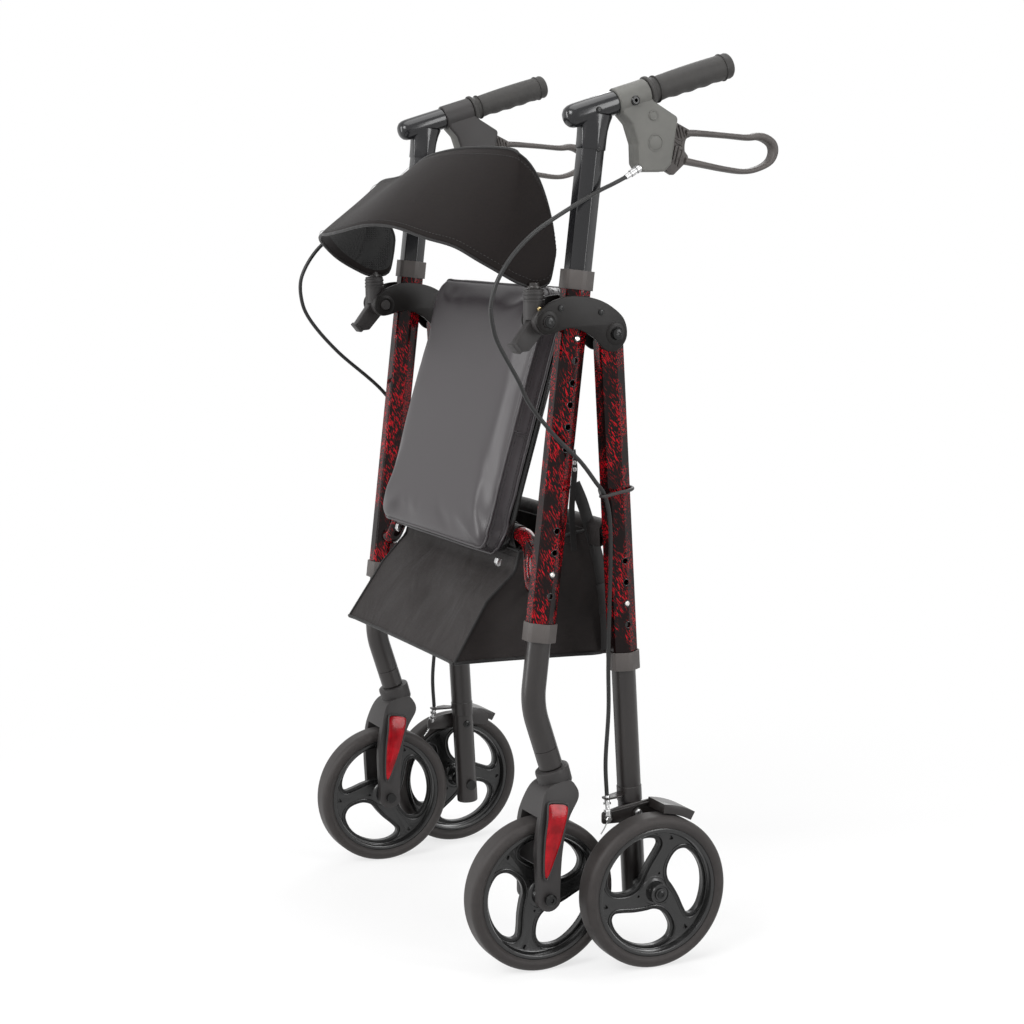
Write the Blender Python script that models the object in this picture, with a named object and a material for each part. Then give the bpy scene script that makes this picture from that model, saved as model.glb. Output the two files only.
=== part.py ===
"""Four-wheeled rollator, folded for storage, in metres with +Z up.

The user stands behind it on the +Y side, and +X is the user's left. Every piece is
modelled around its own joint axis, tube line or bolt, and placed by its parent empty.
"""

import math

import bmesh
import bpy
from mathutils import Matrix, Vector

# Overall layout
TUBE_SPACING = 0.496
WHEEL_RADIUS = 0.092
WHEEL_WIDTH = 0.033
REAR_WHEEL_OFFSET = 0.0468
CLEARANCE = 0.0003
SLIDE_GAP = 0.0004

# Front tube line: it starts at the middle of the lower collar and leans back going up
FRONT_Y = 0.001
FRONT_Z = 0.405
FRONT_LEAN = math.radians(6.5)
TUBE_FLATS = 0.03175
TUBE_CORNER = 0.0032
TUBE_WALL = 0.0012
FRONT_TUBE_LENGTH = 0.4226
COLLAR_HEIGHT = 0.022
COLLAR_WALL = 0.0022
COLLAR_LIP = 0.004
HOLE_PITCH = 0.0254
HOLE_RADIUS = 0.0036

# Handle post, tee and grip
POST_FLATS = 0.0285
POST_WALL = 0.0015
POST_BOTTOM = 0.297
POST_BUTTON = 0.342
POST_STEPS = 5
TEE_HEIGHT = 0.6031
TEE_STUB_FLATS = 0.0300
TEE_STUB_DROP = 0.046
BAR_RISE = math.radians(17.0)
BAR_RADIUS = 0.011
TEE_RADIUS = 0.0138
TEE_NOSE = 0.040
TEE_END = 0.0265
GRIP_START = 0.0690
GRIP_END = 0.1840
GRIP_RADIUS = 0.0153
GRIP_FLANGE_RADIUS = 0.0180
GRIP_FLANGE = 0.004
GRIP_CAP = 0.006

# Brake handle
HOUSING_WIDTH = 0.027
HOUSING_RING_RADIUS = 0.0158
LEVER_WIDTH = 0.0150
LEVER_PIVOT_Y = 0.1378
LEVER_PIVOT_Z = 0.9978
LEVER_PIN_RADIUS = 0.0035
LEVER_END_Y = 0.3116

# Telescoping lower legs
LEG_RADIUS = 0.0143
LEG_BORE_RADIUS = 0.0122
FRONT_LEG_TOP = 0.090
FRONT_LEG_BUTTON = 0.0693
LEG_HOLES = (-1, 0, 1, 2)
BEND_DROP = 0.0863
BEND_RADIUS = 0.100
STEM_LEAN = math.radians(18.0)
STEM_END = 0.0805
STEM_PIN_RADIUS = 0.006
STEM_PIN_LENGTH = 0.045
BUTTON_RADIUS = 0.003
BUTTON_HEIGHT = 0.0018

# Fork
FORK_INNER = 0.0205
FORK_OUTER = 0.0300
FORK_RING_RADIUS = 0.0205
FORK_RING_HEIGHT = 0.020
FORK_WHEEL_GAP = 0.006
FRONT_AXLE_RADIUS = 0.004
HUB_GAP = 0.0008

# Rear frame: its line starts at the fold pivot and leans back going down
PIVOT_Y = 0.0878
PIVOT_Z = 0.7495
REAR_LEAN = math.radians(3.4)
REAR_TUBE_ABOVE = 0.014
REAR_TUBE_BELOW = 0.394
REAR_BUTTON = 0.3171
REAR_LEG_TOP = 0.297
REAR_LEG_BOTTOM = 0.6845
REAR_AXLE_RADIUS = 0.005
CROSSBAR_Z = 0.5140
CROSSBAR_RADIUS = 0.0108

# Hinge plates
PLATE_THICKNESS = 0.004
PLATE_GAP = 0.0004
BOLT_RADIUS = 0.004
BOLT_HEAD_RADIUS = 0.007
BOLT_HEAD_HEIGHT = 0.0028
SPACER_RADIUS = 0.0045
SPACERS = ((0.0164, 0.7803), (0.0678, 0.7747))
BAND_PIVOT_Y = 0.0011
BAND_PIVOT_Z = 0.7648

# Seat and arch
ARCH_RADIUS = 0.0105
SEAT_AXIS_Y = 0.020
SEAT_AXIS_Z = 0.505
SEAT_LEAN = math.radians(16.2)
SEAT_WIDTH = 0.338
SEAT_BELOW = 0.0365
SEAT_LENGTH = 0.340
SEAT_THICKNESS = 0.038
SEAT_CORNER = 0.024
BOARD_THICKNESS = 0.007
BOARD_INSET = 0.012
KNUCKLE_RADIUS = 0.0148
KNUCKLE_WIDTH = 0.024
KNUCKLE_X = 0.115

# Back band
BAND_THICKNESS = 0.010
BAND_HALF_WIDTH = 0.249
BAND_LOW_REACH = 0.136
BAND_HIGH_REACH = 0.064
BAND_LOW_Z = 0.806
BAND_HIGH_Z = 0.934
BAND_LOW_RISE = 0.066
BAND_HIGH_RISE = 0.021
BAND_ARM_BACK = 0.016
BAND_ARM_FRONT = -0.022
BAND_TOP_FRONT = -0.006
BAND_STATIONS = 16
BAND_EDGE_SHARE = 0.03
SOCKET_Y = -0.0066
SOCKET_X = -0.0015
SOCKET_TOP = 0.8015
SOCKET_RADIUS = 0.0120
NECK_RADIUS = 0.0065
NECK_DEPTH = 0.018

# Brake arm and cables
BRAKE_PIVOT_DROP = 0.5710
BRAKE_PLATE = 0.003
SHOE_GAP = 0.0016
CABLE_DIAMETER = 0.005
CABLE_SPACING = 0.0165
STOP_DROP = 0.5470

# The part's origin is under the middle of its box in Y, between the band and the levers
BAND_LOW_TIP_Y = BAND_ARM_FRONT - BAND_LOW_REACH
BAND_HIGH_TIP_Y = BAND_TOP_FRONT - BAND_HIGH_REACH
FRONT_END_Y = BAND_LOW_TIP_Y + BAND_EDGE_SHARE * (BAND_HIGH_TIP_Y - BAND_LOW_TIP_Y)
SHIFT_Y = -(FRONT_END_Y + LEVER_END_Y) / 2

HALF_SPACING = TUBE_SPACING / 2
CORNER_LOSS = 1 / math.cos(math.radians(30)) - math.cos(math.radians(30))
TUBE_VERTEX = TUBE_FLATS / math.sqrt(3) - TUBE_CORNER * CORNER_LOSS
ROUND_STEPS = 16
WHEEL_STEPS = 24
SMOOTH_ANGLE = math.radians(40)
SIDES = {"left": 1, "right": -1}

# Colour, roughness and metallic value of each finish
FINISHES = {
    "red_streak_lacquer": ((0.115, 0.004, 0.006), 0.18, 0.0),
    "black_gloss": ((0.012, 0.012, 0.013), 0.2, 0.0),
    "black_satin": ((0.018, 0.018, 0.019), 0.38, 0.0),
    "grey_plastic": ((0.045, 0.045, 0.043), 0.55, 0.0),
    "black_plastic": ((0.022, 0.022, 0.022), 0.5, 0.0),
    "black_rubber": ((0.02, 0.02, 0.02), 0.7, 0.0),
    "tyre": ((0.035, 0.034, 0.034), 0.6, 0.0),
    "vinyl": ((0.055, 0.052, 0.056), 0.42, 0.0),
    "fabric": ((0.018, 0.017, 0.017), 0.9, 0.0),
    "zinc": ((0.6, 0.6, 0.6), 0.3, 1.0),
}


def clear_scene():
    for old in list(bpy.data.objects):
        bpy.data.objects.remove(old)


def axis_empty(name, location, tilt=0.0, parent=None):
    empty = bpy.data.objects.new(name, None)
    bpy.context.scene.collection.objects.link(empty)
    empty.location = location
    empty.rotation_euler = (tilt, 0.0, 0.0)
    empty.parent = parent
    return empty


def material_for(name, finish):
    colour, roughness, metallic = FINISHES[finish]
    material = bpy.data.materials.new(name)
    material.use_nodes = True
    shader = material.node_tree.nodes["Principled BSDF"]
    shader.inputs["Base Color"].default_value = (*colour, 1.0)
    shader.inputs["Roughness"].default_value = roughness
    shader.inputs["Metallic"].default_value = metallic
    return material


def add_mesh(name, shape, parent, location=(0.0, 0.0, 0.0), side=1):
    """Turns a shape into an object. The right side's copy is the left one's mirror image."""
    if side < 0:
        bmesh.ops.scale(shape, vec=(-1.0, 1.0, 1.0), verts=shape.verts)
        bmesh.ops.reverse_faces(shape, faces=shape.faces)
    mesh = bpy.data.meshes.new(name)
    shape.to_mesh(mesh)
    shape.free()
    obj = bpy.data.objects.new(name, mesh)
    bpy.context.scene.collection.objects.link(obj)
    obj.parent = parent
    obj.location = location
    return obj


def add_piece(name, shape, finish, parent, location=(0.0, 0.0, 0.0), side=1):
    obj = add_mesh(name, shape, parent, location, side)
    obj.data.materials.append(material_for(name, finish))
    obj.data.shade_smooth()
    obj.data.set_sharp_from_angle(angle=SMOOTH_ANGLE)
    return obj


def combine(obj, shape, operation, side=1):
    """Adds or cuts a shape given in the object's own coordinates."""
    helper = add_mesh(f"{obj.name}_{operation.lower()}", shape, obj.parent, obj.location, side)
    helper.hide_render = True
    helper.display_type = "WIRE"
    boolean = obj.modifiers.new(operation.title(), "BOOLEAN")
    boolean.object = helper
    boolean.operation = operation
    boolean.solver = "EXACT"


def unite(obj, shape, side=1):
    combine(obj, shape, "UNION", side)


def cut(obj, shape, side=1):
    combine(obj, shape, "DIFFERENCE", side)


def chain(loops, closed=False):
    """Skins equal loops in turn. An open chain gets end faces; a closed one meets its start."""
    shape = bmesh.new()
    rings = [[shape.verts.new(point) for point in loop] for loop in loops]
    pairs = list(zip(rings, rings[1:]))
    if closed:
        pairs.append((rings[-1], rings[0]))
    else:
        shape.faces.new(list(reversed(rings[0])))
        shape.faces.new(rings[-1])
    for first, second in pairs:
        for i in range(len(first)):
            j = (i + 1) % len(first)
            shape.faces.new((first[i], first[j], second[j], second[i]))
    bmesh.ops.recalc_face_normals(shape, faces=shape.faces)
    return shape


def merged(shapes):
    """One shape out of several that lie apart."""
    whole = bmesh.new()
    for shape in shapes:
        mesh = bpy.data.meshes.new("part_of_helper")
        shape.to_mesh(mesh)
        shape.free()
        whole.from_mesh(mesh)
        bpy.data.meshes.remove(mesh)
    return whole


def moved(shape, matrix):
    bmesh.ops.transform(shape, matrix=matrix, verts=shape.verts)
    return shape


HEX_POINTS = 12


def hex_section(across_flats, z, corner=TUBE_CORNER):
    """Hexagon with blunt corners at +X and -X, two points to a corner."""
    points = []
    reach = across_flats / math.sqrt(3) - corner / math.cos(math.radians(30))
    for k in range(6):
        for turn in (-30, 30):
            out = math.radians(60 * k)
            arc = math.radians(60 * k + turn)
            x = reach * math.cos(out) + corner * math.cos(arc)
            y = reach * math.sin(out) + corner * math.sin(arc)
            points.append((x, y, z))
    return points


def round_section(radius, z, steps=ROUND_STEPS):
    first = -2 * math.pi / steps
    turns = [first + 2 * math.pi * i / steps for i in range(steps)]
    return [(radius * math.cos(a), radius * math.sin(a), z) for a in turns]


def arc(y, z, radius, start, end, steps):
    """Points in side view on an arc, its angles in degrees from +Y towards +Z."""
    turns = [math.radians(start + (end - start) * i / steps) for i in range(steps + 1)]
    return [(y + radius * math.cos(a), z + radius * math.sin(a)) for a in turns]


def circle(y, z, radius, steps=16):
    return arc(y, z, radius, 0, 360, steps)[:-1]


def prism(outline, low_x, high_x):
    """A side view outline, as (y, z) points, extruded along X."""
    return chain([[(x, y, z) for y, z in outline] for x in (low_x, high_x)])


def turned_x(profile, steps=16, closed=False):
    """(x, radius) points turned about X."""
    return chain([[(x, y, z) for y, z in circle(0, 0, r, steps)] for x, r in profile], closed)


def turned_y(profile, steps=16, closed=False):
    """(y, radius) points turned about Y."""
    return chain([[(x, y, z) for x, z in circle(0, 0, r, steps)] for y, r in profile], closed)


def side_cylinder(radius, low_x, high_x, z, steps=8):
    return prism(circle(0, z, radius, steps), low_x, high_x)


def swept(path, radius, steps=12):
    """A round bar along points in space, with flat ends square to its first and last runs."""
    points = [Vector(p) for p in path]
    loops = []
    across = Vector((0.0, 1.0, 0.0))
    for i, point in enumerate(points):
        before = points[max(i - 1, 0)]
        after = points[min(i + 1, len(points) - 1)]
        along = (after - before).normalized()
        across = (across - along * across.dot(along)).normalized()
        up = along.cross(across)
        turns = [2 * math.pi * k / steps for k in range(steps)]
        loops.append([point + radius * (across * math.cos(a) + up * math.sin(a)) for a in turns])
    return chain(loops)


def smooth_path(points, spacing):
    """Evenly spaced points on a smooth curve through the given ones."""
    knots = [Vector(p) for p in points]
    knots = [2 * knots[0] - knots[1], *knots, 2 * knots[-1] - knots[-2]]
    fine = []
    per_run = 24
    for a, b, c, d in zip(knots, knots[1:], knots[2:], knots[3:]):
        for i in range(per_run):
            t = i / per_run
            fine.append(
                0.5 * (2 * b + (c - a) * t + (2 * a - 5 * b + 4 * c - d) * t * t
                       + (3 * b - a - 3 * c + d) * t * t * t)
            )
    fine.append(knots[-2])
    lengths = [0.0]
    for before, after in zip(fine, fine[1:]):
        lengths.append(lengths[-1] + (after - before).length)
    count = max(2, round(lengths[-1] / spacing))
    found = []
    j = 0
    for i in range(count + 1):
        wanted = lengths[-1] * i / count
        while j < len(lengths) - 2 and lengths[j + 1] < wanted:
            j += 1
        share = (wanted - lengths[j]) / (lengths[j + 1] - lengths[j])
        found.append(fine[j].lerp(fine[j + 1], min(max(share, 0.0), 1.0)))
    return found


def on_front_line(height):
    """(y, z) of a point on the front tube's axis, this far up it."""
    y = FRONT_Y + height * math.sin(FRONT_LEAN)
    return y, FRONT_Z + height * math.cos(FRONT_LEAN)


def on_rear_line(drop):
    """(y, z) of a point on the rear tube's axis, this far below the fold pivot."""
    return PIVOT_Y + drop * math.sin(REAR_LEAN), PIVOT_Z - drop * math.cos(REAR_LEAN)


def rear_axle_place():
    drop = (PIVOT_Z - WHEEL_RADIUS) / math.cos(REAR_LEAN)
    return on_rear_line(drop)


def hex_tube(low, high):
    inner = TUBE_FLATS - 2 * TUBE_WALL
    inner_corner = TUBE_CORNER - TUBE_WALL
    return chain(
        [
            hex_section(TUBE_FLATS, low),
            hex_section(TUBE_FLATS, high),
            hex_section(inner, high, inner_corner),
            hex_section(inner, low, inner_corner),
        ],
        closed=True,
    )


def cope(low, high):
    """What a cross tube's end is cut with, so that it fits round the side of a hexagonal tube."""
    return chain([hex_section(TUBE_FLATS + 2 * CLEARANCE, z) for z in (low, high)])


def collar(tube_end, upward, lip_section):
    """A cap around a tube's end, whose lip guides what slides in the tube."""
    out = TUBE_FLATS + 2 * (COLLAR_WALL + CLEARANCE)
    bore = TUBE_FLATS + 2 * CLEARANCE
    lip_outer = tube_end + upward * COLLAR_LIP
    lip_inner = tube_end + upward * CLEARANCE
    mouth = lip_outer - upward * COLLAR_HEIGHT
    return chain(
        [
            hex_section(out, mouth, TUBE_CORNER + COLLAR_WALL),
            hex_section(out, lip_outer, TUBE_CORNER + COLLAR_WALL),
            lip_section(lip_outer),
            lip_section(lip_inner),
            hex_section(bore, lip_inner),
            hex_section(bore, mouth),
        ],
        closed=True,
    )


def leg_lip(z):
    return round_section((LEG_RADIUS + SLIDE_GAP) / math.cos(math.pi / HEX_POINTS), z, HEX_POINTS)


def adjusting_holes(heights):
    low = TUBE_VERTEX - 3 * TUBE_WALL - TUBE_CORNER
    return merged([side_cylinder(HOLE_RADIUS, low, TUBE_VERTEX + 0.002, z, 6) for z in heights])


def button():
    """The head of a spring button, which fills its hole through the tube's wall."""
    tip = TUBE_VERTEX + BUTTON_HEIGHT
    profile = [
        (TUBE_VERTEX - TUBE_WALL, BUTTON_RADIUS),
        (tip - 0.001, BUTTON_RADIUS),
        (tip, BUTTON_RADIUS - 0.001),
    ]
    return turned_x(profile, 10)


def build_front_tube(side_name, side, line):
    post_holes = [POST_BUTTON - k * HOLE_PITCH for k in range(POST_STEPS + 1)]
    leg_holes = [FRONT_LEG_BUTTON + k * HOLE_PITCH for k in LEG_HOLES]
    bottom = COLLAR_LIP - COLLAR_HEIGHT / 2
    tube = add_piece(f"front_tube_{side_name}", hex_tube(bottom, bottom + FRONT_TUBE_LENGTH),
                     "red_streak_lacquer", line, side=side)
    cut(tube, adjusting_holes(post_holes + leg_holes), side)
    post_lip = POST_FLATS + 2 * SLIDE_GAP
    top = collar(bottom + FRONT_TUBE_LENGTH, 1, lambda z: hex_section(post_lip, z))
    add_piece(f"upper_collar_{side_name}", top, "grey_plastic", line, side=side)
    low = collar(bottom, -1, leg_lip)
    add_piece(f"front_collar_{side_name}", low, "grey_plastic", line, side=side)


def build_post(side_name, side, line, bar_line):
    inner = POST_FLATS - 2 * POST_WALL
    inner_corner = TUBE_CORNER - POST_WALL
    top = TEE_HEIGHT - TEE_STUB_DROP
    shape = chain(
        [
            hex_section(POST_FLATS, POST_BOTTOM),
            hex_section(POST_FLATS, top),
            hex_section(inner, top, inner_corner),
            hex_section(inner, POST_BOTTOM, inner_corner),
        ],
        closed=True,
    )
    post = add_piece(f"handle_post_{side_name}", shape, "black_gloss", line, side=side)
    cut(post, side_cylinder(BUTTON_RADIUS + CLEARANCE, 0.010, TUBE_VERTEX, POST_BUTTON, 10), side)
    stub = chain([hex_section(TEE_STUB_FLATS, top - 0.002), hex_section(TEE_STUB_FLATS, TEE_HEIGHT)])
    unite(post, stub, side)
    profile = [
        (-TEE_NOSE, TEE_RADIUS * 0.45),
        (-TEE_NOSE + 0.003, TEE_RADIUS * 0.80),
        (-TEE_NOSE + 0.009, TEE_RADIUS),
        (TEE_END, TEE_RADIUS),
        (TEE_END, BAR_RADIUS),
        (GRIP_END - GRIP_CAP - 0.001, BAR_RADIUS),
    ]
    to_line = Matrix.Translation((0, 0, TEE_HEIGHT)) @ Matrix.Rotation(FRONT_LEAN + BAR_RISE, 4, "X")
    unite(post, moved(turned_y(profile, ROUND_STEPS), to_line), side)

    bore = BAR_RADIUS + CLEARANCE
    grip = turned_y(
        [
            (GRIP_START, bore),
            (GRIP_START, GRIP_FLANGE_RADIUS),
            (GRIP_START + GRIP_FLANGE, GRIP_FLANGE_RADIUS),
            (GRIP_START + 2.2 * GRIP_FLANGE, GRIP_RADIUS - 0.001),
            (GRIP_END - 0.003, GRIP_RADIUS),
            (GRIP_END, GRIP_RADIUS - 0.003),
            (GRIP_END, 0.002),
            (GRIP_END - GRIP_CAP, 0.002),
            (GRIP_END - GRIP_CAP, bore),
        ],
        ROUND_STEPS,
        closed=True,
    )
    add_piece(f"grip_{side_name}", grip, "black_rubber", bar_line, side=side)


HOUSING_OUTLINE = (
    (0.0990, 1.0100), (0.1000, 0.9988), (0.1110, 0.9876), (0.1190, 0.9651), (0.1200, 0.9426),
    (0.1260, 0.9337), (0.1544, 0.9340), (0.1632, 0.9430), (0.1714, 0.9963), (0.1448, 1.0110),
    (0.1330, 1.0220),
)
HOUSING_SLOT = (
    (0.1285, 1.0066), (0.1285, 0.9850), (0.1475, 0.9250), (0.1900, 0.9250), (0.1900, 1.0066),
)
LEVER_OUTER = (
    (0.1730, 0.9941), (0.1923, 0.9843), (0.2721, 0.9778), (0.2874, 0.9818), (0.2997, 0.9781),
    (LEVER_END_Y - 0.0025, 0.9715), (LEVER_END_Y, 0.9640), (0.3090, 0.9545), (0.3003, 0.9443),
    (0.2850, 0.9350), (0.2669, 0.9310), (0.2274, 0.9360), (0.1794, 0.9433), (0.1690, 0.9300),
    (0.1615, 0.9345), (0.1530, 0.9490),
)
LEVER_INNER = (
    (0.1851, 0.9714), (0.1924, 0.9766), (0.2783, 0.9726), (0.2900, 0.9680), (0.2955, 0.9599),
    (0.2880, 0.9468), (0.2667, 0.9388), (0.1912, 0.9497), (0.1837, 0.9612),
)


def about(outline, y, z):
    """Side view points measured from this place."""
    return [(py - y, pz - z) for py, pz in outline]


def build_brake_handle(side_name, side, origin, bar_line):
    place = (side * HALF_SPACING, LEVER_PIVOT_Y, LEVER_PIVOT_Z)
    axis = axis_empty(f"lever_axis_{side_name}", place, 0.0, origin)
    half = HOUSING_WIDTH / 2

    def here(outline):
        return about(outline, LEVER_PIVOT_Y, LEVER_PIVOT_Z)

    housing = add_piece(f"brake_housing_{side_name}", prism(here(HOUSING_OUTLINE), -half, half),
                        "grey_plastic", axis, side=side)
    tee_y, tee_z = on_front_line(TEE_HEIGHT)
    to_bar = Matrix.Translation((0, tee_y - LEVER_PIVOT_Y, tee_z - LEVER_PIVOT_Z))
    to_bar = to_bar @ Matrix.Rotation(BAR_RISE, 4, "X")
    low, high = TEE_END + SLIDE_GAP, GRIP_START - SLIDE_GAP
    ring = turned_y([(low, HOUSING_RING_RADIUS), (high, HOUSING_RING_RADIUS)], ROUND_STEPS)
    unite(housing, moved(ring, to_bar), side)
    bore = turned_y([(low - 0.02, BAR_RADIUS + CLEARANCE), (high + 0.02, BAR_RADIUS + CLEARANCE)],
                    ROUND_STEPS)
    cut(housing, moved(bore, to_bar), side)
    tee_room = turned_y([(-0.02, TEE_RADIUS + SLIDE_GAP), (low, TEE_RADIUS + SLIDE_GAP)], ROUND_STEPS)
    cut(housing, moved(tee_room, to_bar), side)
    grip_room = turned_y([(high, GRIP_FLANGE_RADIUS + SLIDE_GAP), (high + 0.03, GRIP_FLANGE_RADIUS + SLIDE_GAP)],
                         ROUND_STEPS)
    cut(housing, moved(grip_room, to_bar), side)
    slot_half = LEVER_WIDTH / 2 + SLIDE_GAP
    cut(housing, prism(here(HOUSING_SLOT), -slot_half, slot_half), side)
    pin_hole = side_cylinder(LEVER_PIN_RADIUS + CLEARANCE, -half - 0.005, half + 0.005, 0.0, 12)
    cut(housing, pin_hole, side)

    lever_half = LEVER_WIDTH / 2
    hub = arc(LEVER_PIVOT_Y, LEVER_PIVOT_Z, 0.0078, 215, 60, 6)
    lever = add_piece(f"brake_lever_{side_name}", prism(here((*hub, *LEVER_OUTER)), -lever_half, lever_half),
                      "grey_plastic", axis, side=side)
    cut(lever, prism(here(LEVER_INNER), -2 * lever_half, 2 * lever_half), side)
    unite(lever, side_cylinder(LEVER_PIN_RADIUS, -half, half + 0.0012, 0.0, 12), side)


def leg_bend():
    """Where the front tube line meets the stem line, as (y, z)."""
    return on_front_line(-BEND_DROP)


def build_front_leg(side_name, side, line):
    """The bent lower leg, in the front tube line's coordinates."""
    turn = FRONT_LEAN + STEM_LEAN
    tangent = BEND_RADIUS * math.tan(turn / 2)
    loops = [round_section(LEG_RADIUS, FRONT_LEG_TOP), round_section(LEG_RADIUS, -BEND_DROP + tangent)]
    bend_steps = 5
    centre = Matrix.Translation((0, BEND_RADIUS, -BEND_DROP + tangent))
    for k in range(1, bend_steps + 1):
        about_centre = centre @ Matrix.Rotation(turn * k / bend_steps, 4, "X") @ centre.inverted()
        loops.append([about_centre @ Vector(p) for p in loops[1]])
    to_stem = Matrix.Translation((0, 0, -BEND_DROP)) @ Matrix.Rotation(turn, 4, "X")
    loops.append([to_stem @ Vector(p) for p in round_section(LEG_RADIUS, -STEM_END)])
    leg = add_piece(f"front_leg_{side_name}", chain(loops), "black_satin", line, side=side)
    top_bore = chain([round_section(LEG_BORE_RADIUS, -0.050), round_section(LEG_BORE_RADIUS, FRONT_LEG_TOP + 0.01)])
    cut(leg, top_bore, side)
    pin_bore = chain(
        [
            round_section(STEM_PIN_RADIUS + CLEARANCE, -STEM_END - 0.01, 12),
            round_section(STEM_PIN_RADIUS + CLEARANCE, -STEM_END + STEM_PIN_LENGTH + 0.001, 12),
        ]
    )
    cut(leg, moved(pin_bore, to_stem), side)
    cut(leg, side_cylinder(BUTTON_RADIUS + CLEARANCE, 0.008, 0.02, FRONT_LEG_BUTTON, 10), side)


FORK_ARM = (
    (0.0140, 0.0110), (0.0170, 0.0560), (0.0250, 0.0930), (0.0410, 0.1170), (0.0380, 0.1310),
    (0.0280, 0.1370), (0.0010, 0.1290), (-0.0110, 0.1000), (-0.0165, 0.0600), (-0.0145, 0.0110),
)


def build_fork(side_name, side, stem_line):
    """Fork with its stem pin. Its outline is measured from the axle, its ring from the stem line."""
    bend_y, bend_z = leg_bend()
    to_axle = Matrix.Rotation(-STEM_LEAN, 4, "X") @ Matrix.Translation((0, -bend_y, WHEEL_RADIUS - bend_z))
    outline = [*FORK_ARM, *arc(0, 0, 0.0150, 200, 340, 7)]
    shape = prism(outline, -FORK_OUTER, FORK_OUTER)
    for vert in shape.verts:
        taper = min(max((vert.co.z - 0.090) / 0.045, 0.0), 1.0)
        vert.co.x *= 1.0 - 0.33 * taper
    fork = add_piece(f"fork_{side_name}", moved(shape, to_axle), "grey_plastic", stem_line, side=side)
    low = -STEM_END - CLEARANCE - 0.0005
    ring = chain([round_section(FORK_RING_RADIUS - 0.001, low - FORK_RING_HEIGHT), round_section(FORK_RING_RADIUS, low)])
    unite(fork, ring, side)
    room = WHEEL_RADIUS + FORK_WHEEL_GAP
    slot = [(room + 0.02, -0.05), *arc(0, 0, room, 40, 140, 10), (-room - 0.02, -0.05)]
    cut(fork, moved(prism(slot, -FORK_INNER, FORK_INNER), to_axle), side)
    pin = chain([round_section(STEM_PIN_RADIUS, low - 0.004, 12), round_section(STEM_PIN_RADIUS, low + STEM_PIN_LENGTH, 12)])
    unite(fork, pin, side)
    bolt_hole = side_cylinder(FRONT_AXLE_RADIUS + CLEARANCE, -0.05, 0.05, 0.0, 12)
    cut(fork, moved(bolt_hole, to_axle), side)
    axle = turned_x(
        [
            (-FORK_OUTER - 0.0045, 0.0045), (-FORK_OUTER - 0.0045, 0.0065),
            (-FORK_OUTER - CLEARANCE, 0.0065), (-FORK_OUTER - CLEARANCE, FRONT_AXLE_RADIUS),
            (FORK_OUTER + CLEARANCE, FRONT_AXLE_RADIUS), (FORK_OUTER + CLEARANCE, 0.0065),
            (FORK_OUTER + 0.004, 0.0065), (FORK_OUTER + 0.004, 0.0045),
        ],
        12,
    )
    add_piece(f"front_axle_{side_name}", moved(axle, to_axle), "zinc", stem_line, side=side)


# A window's outline: degrees from its middle, towards its round end, and metres from the axle
WINDOW = (
    (38, 0.0640), (24, 0.0668), (8, 0.0675), (-10, 0.0672), (-26, 0.0660), (-38, 0.0630),
    (-43, 0.0570), (-39, 0.0480), (-24, 0.0350), (0, 0.0255), (22, 0.0225), (42, 0.0265),
    (51, 0.0360), (51, 0.0500), (46, 0.0590),
)
RIM_RADIUS = 0.0775
RIM_HALF = 0.0145
WEB_HALF = 0.0055
WEB_RADIUS = 0.0695
HUB_RADIUS = 0.0125


def build_wheel(name, location, parent, axle_radius, swirl, middle_of_first):
    """A rim with three swirled windows, and the tyre around it, which stands on a flat facet."""
    half_facet = math.pi / WHEEL_STEPS
    grown = 1 / math.cos(half_facet)
    facets = Matrix.Rotation(half_facet, 4, "X") @ Matrix.Diagonal((1, grown, grown, 1))
    hub_half = FORK_INNER - HUB_GAP
    bore = axle_radius + CLEARANCE
    rim_profile = [
        (-hub_half, bore), (-hub_half, HUB_RADIUS - 0.001), (-WEB_HALF, HUB_RADIUS),
        (-WEB_HALF, WEB_RADIUS), (-RIM_HALF, WEB_RADIUS + 0.002), (-RIM_HALF, RIM_RADIUS),
        (RIM_HALF, RIM_RADIUS), (RIM_HALF, WEB_RADIUS + 0.002), (WEB_HALF, WEB_RADIUS),
        (WEB_HALF, HUB_RADIUS), (hub_half, HUB_RADIUS - 0.001), (hub_half, bore),
    ]
    rim = add_piece(f"{name}_rim", moved(turned_x(rim_profile, WHEEL_STEPS, closed=True), facets), "black_plastic", parent, location)
    windows = []
    for middle in (middle_of_first, middle_of_first + 120, middle_of_first + 240):
        angles = [(math.radians(middle + swirl * degrees), radius) for degrees, radius in WINDOW]
        outline = [(radius * math.cos(a), radius * math.sin(a)) for a, radius in angles]
        windows.append(prism(outline, -0.02, 0.02))
    cut(rim, merged(windows))
    half = WHEEL_WIDTH / 2
    inner = RIM_RADIUS + CLEARANCE
    tyre_profile = [
        (-half + 0.002, inner), (-half, WHEEL_RADIUS - 0.009), (-half + 0.003, WHEEL_RADIUS - 0.003),
        (-half + 0.009, WHEEL_RADIUS), (half - 0.009, WHEEL_RADIUS), (half - 0.003, WHEEL_RADIUS - 0.003),
        (half, WHEEL_RADIUS - 0.009), (half - 0.002, inner),
    ]
    add_piece(f"{name}_tyre", moved(turned_x(tyre_profile, WHEEL_STEPS, closed=True), facets), "tyre", parent, location)


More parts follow.
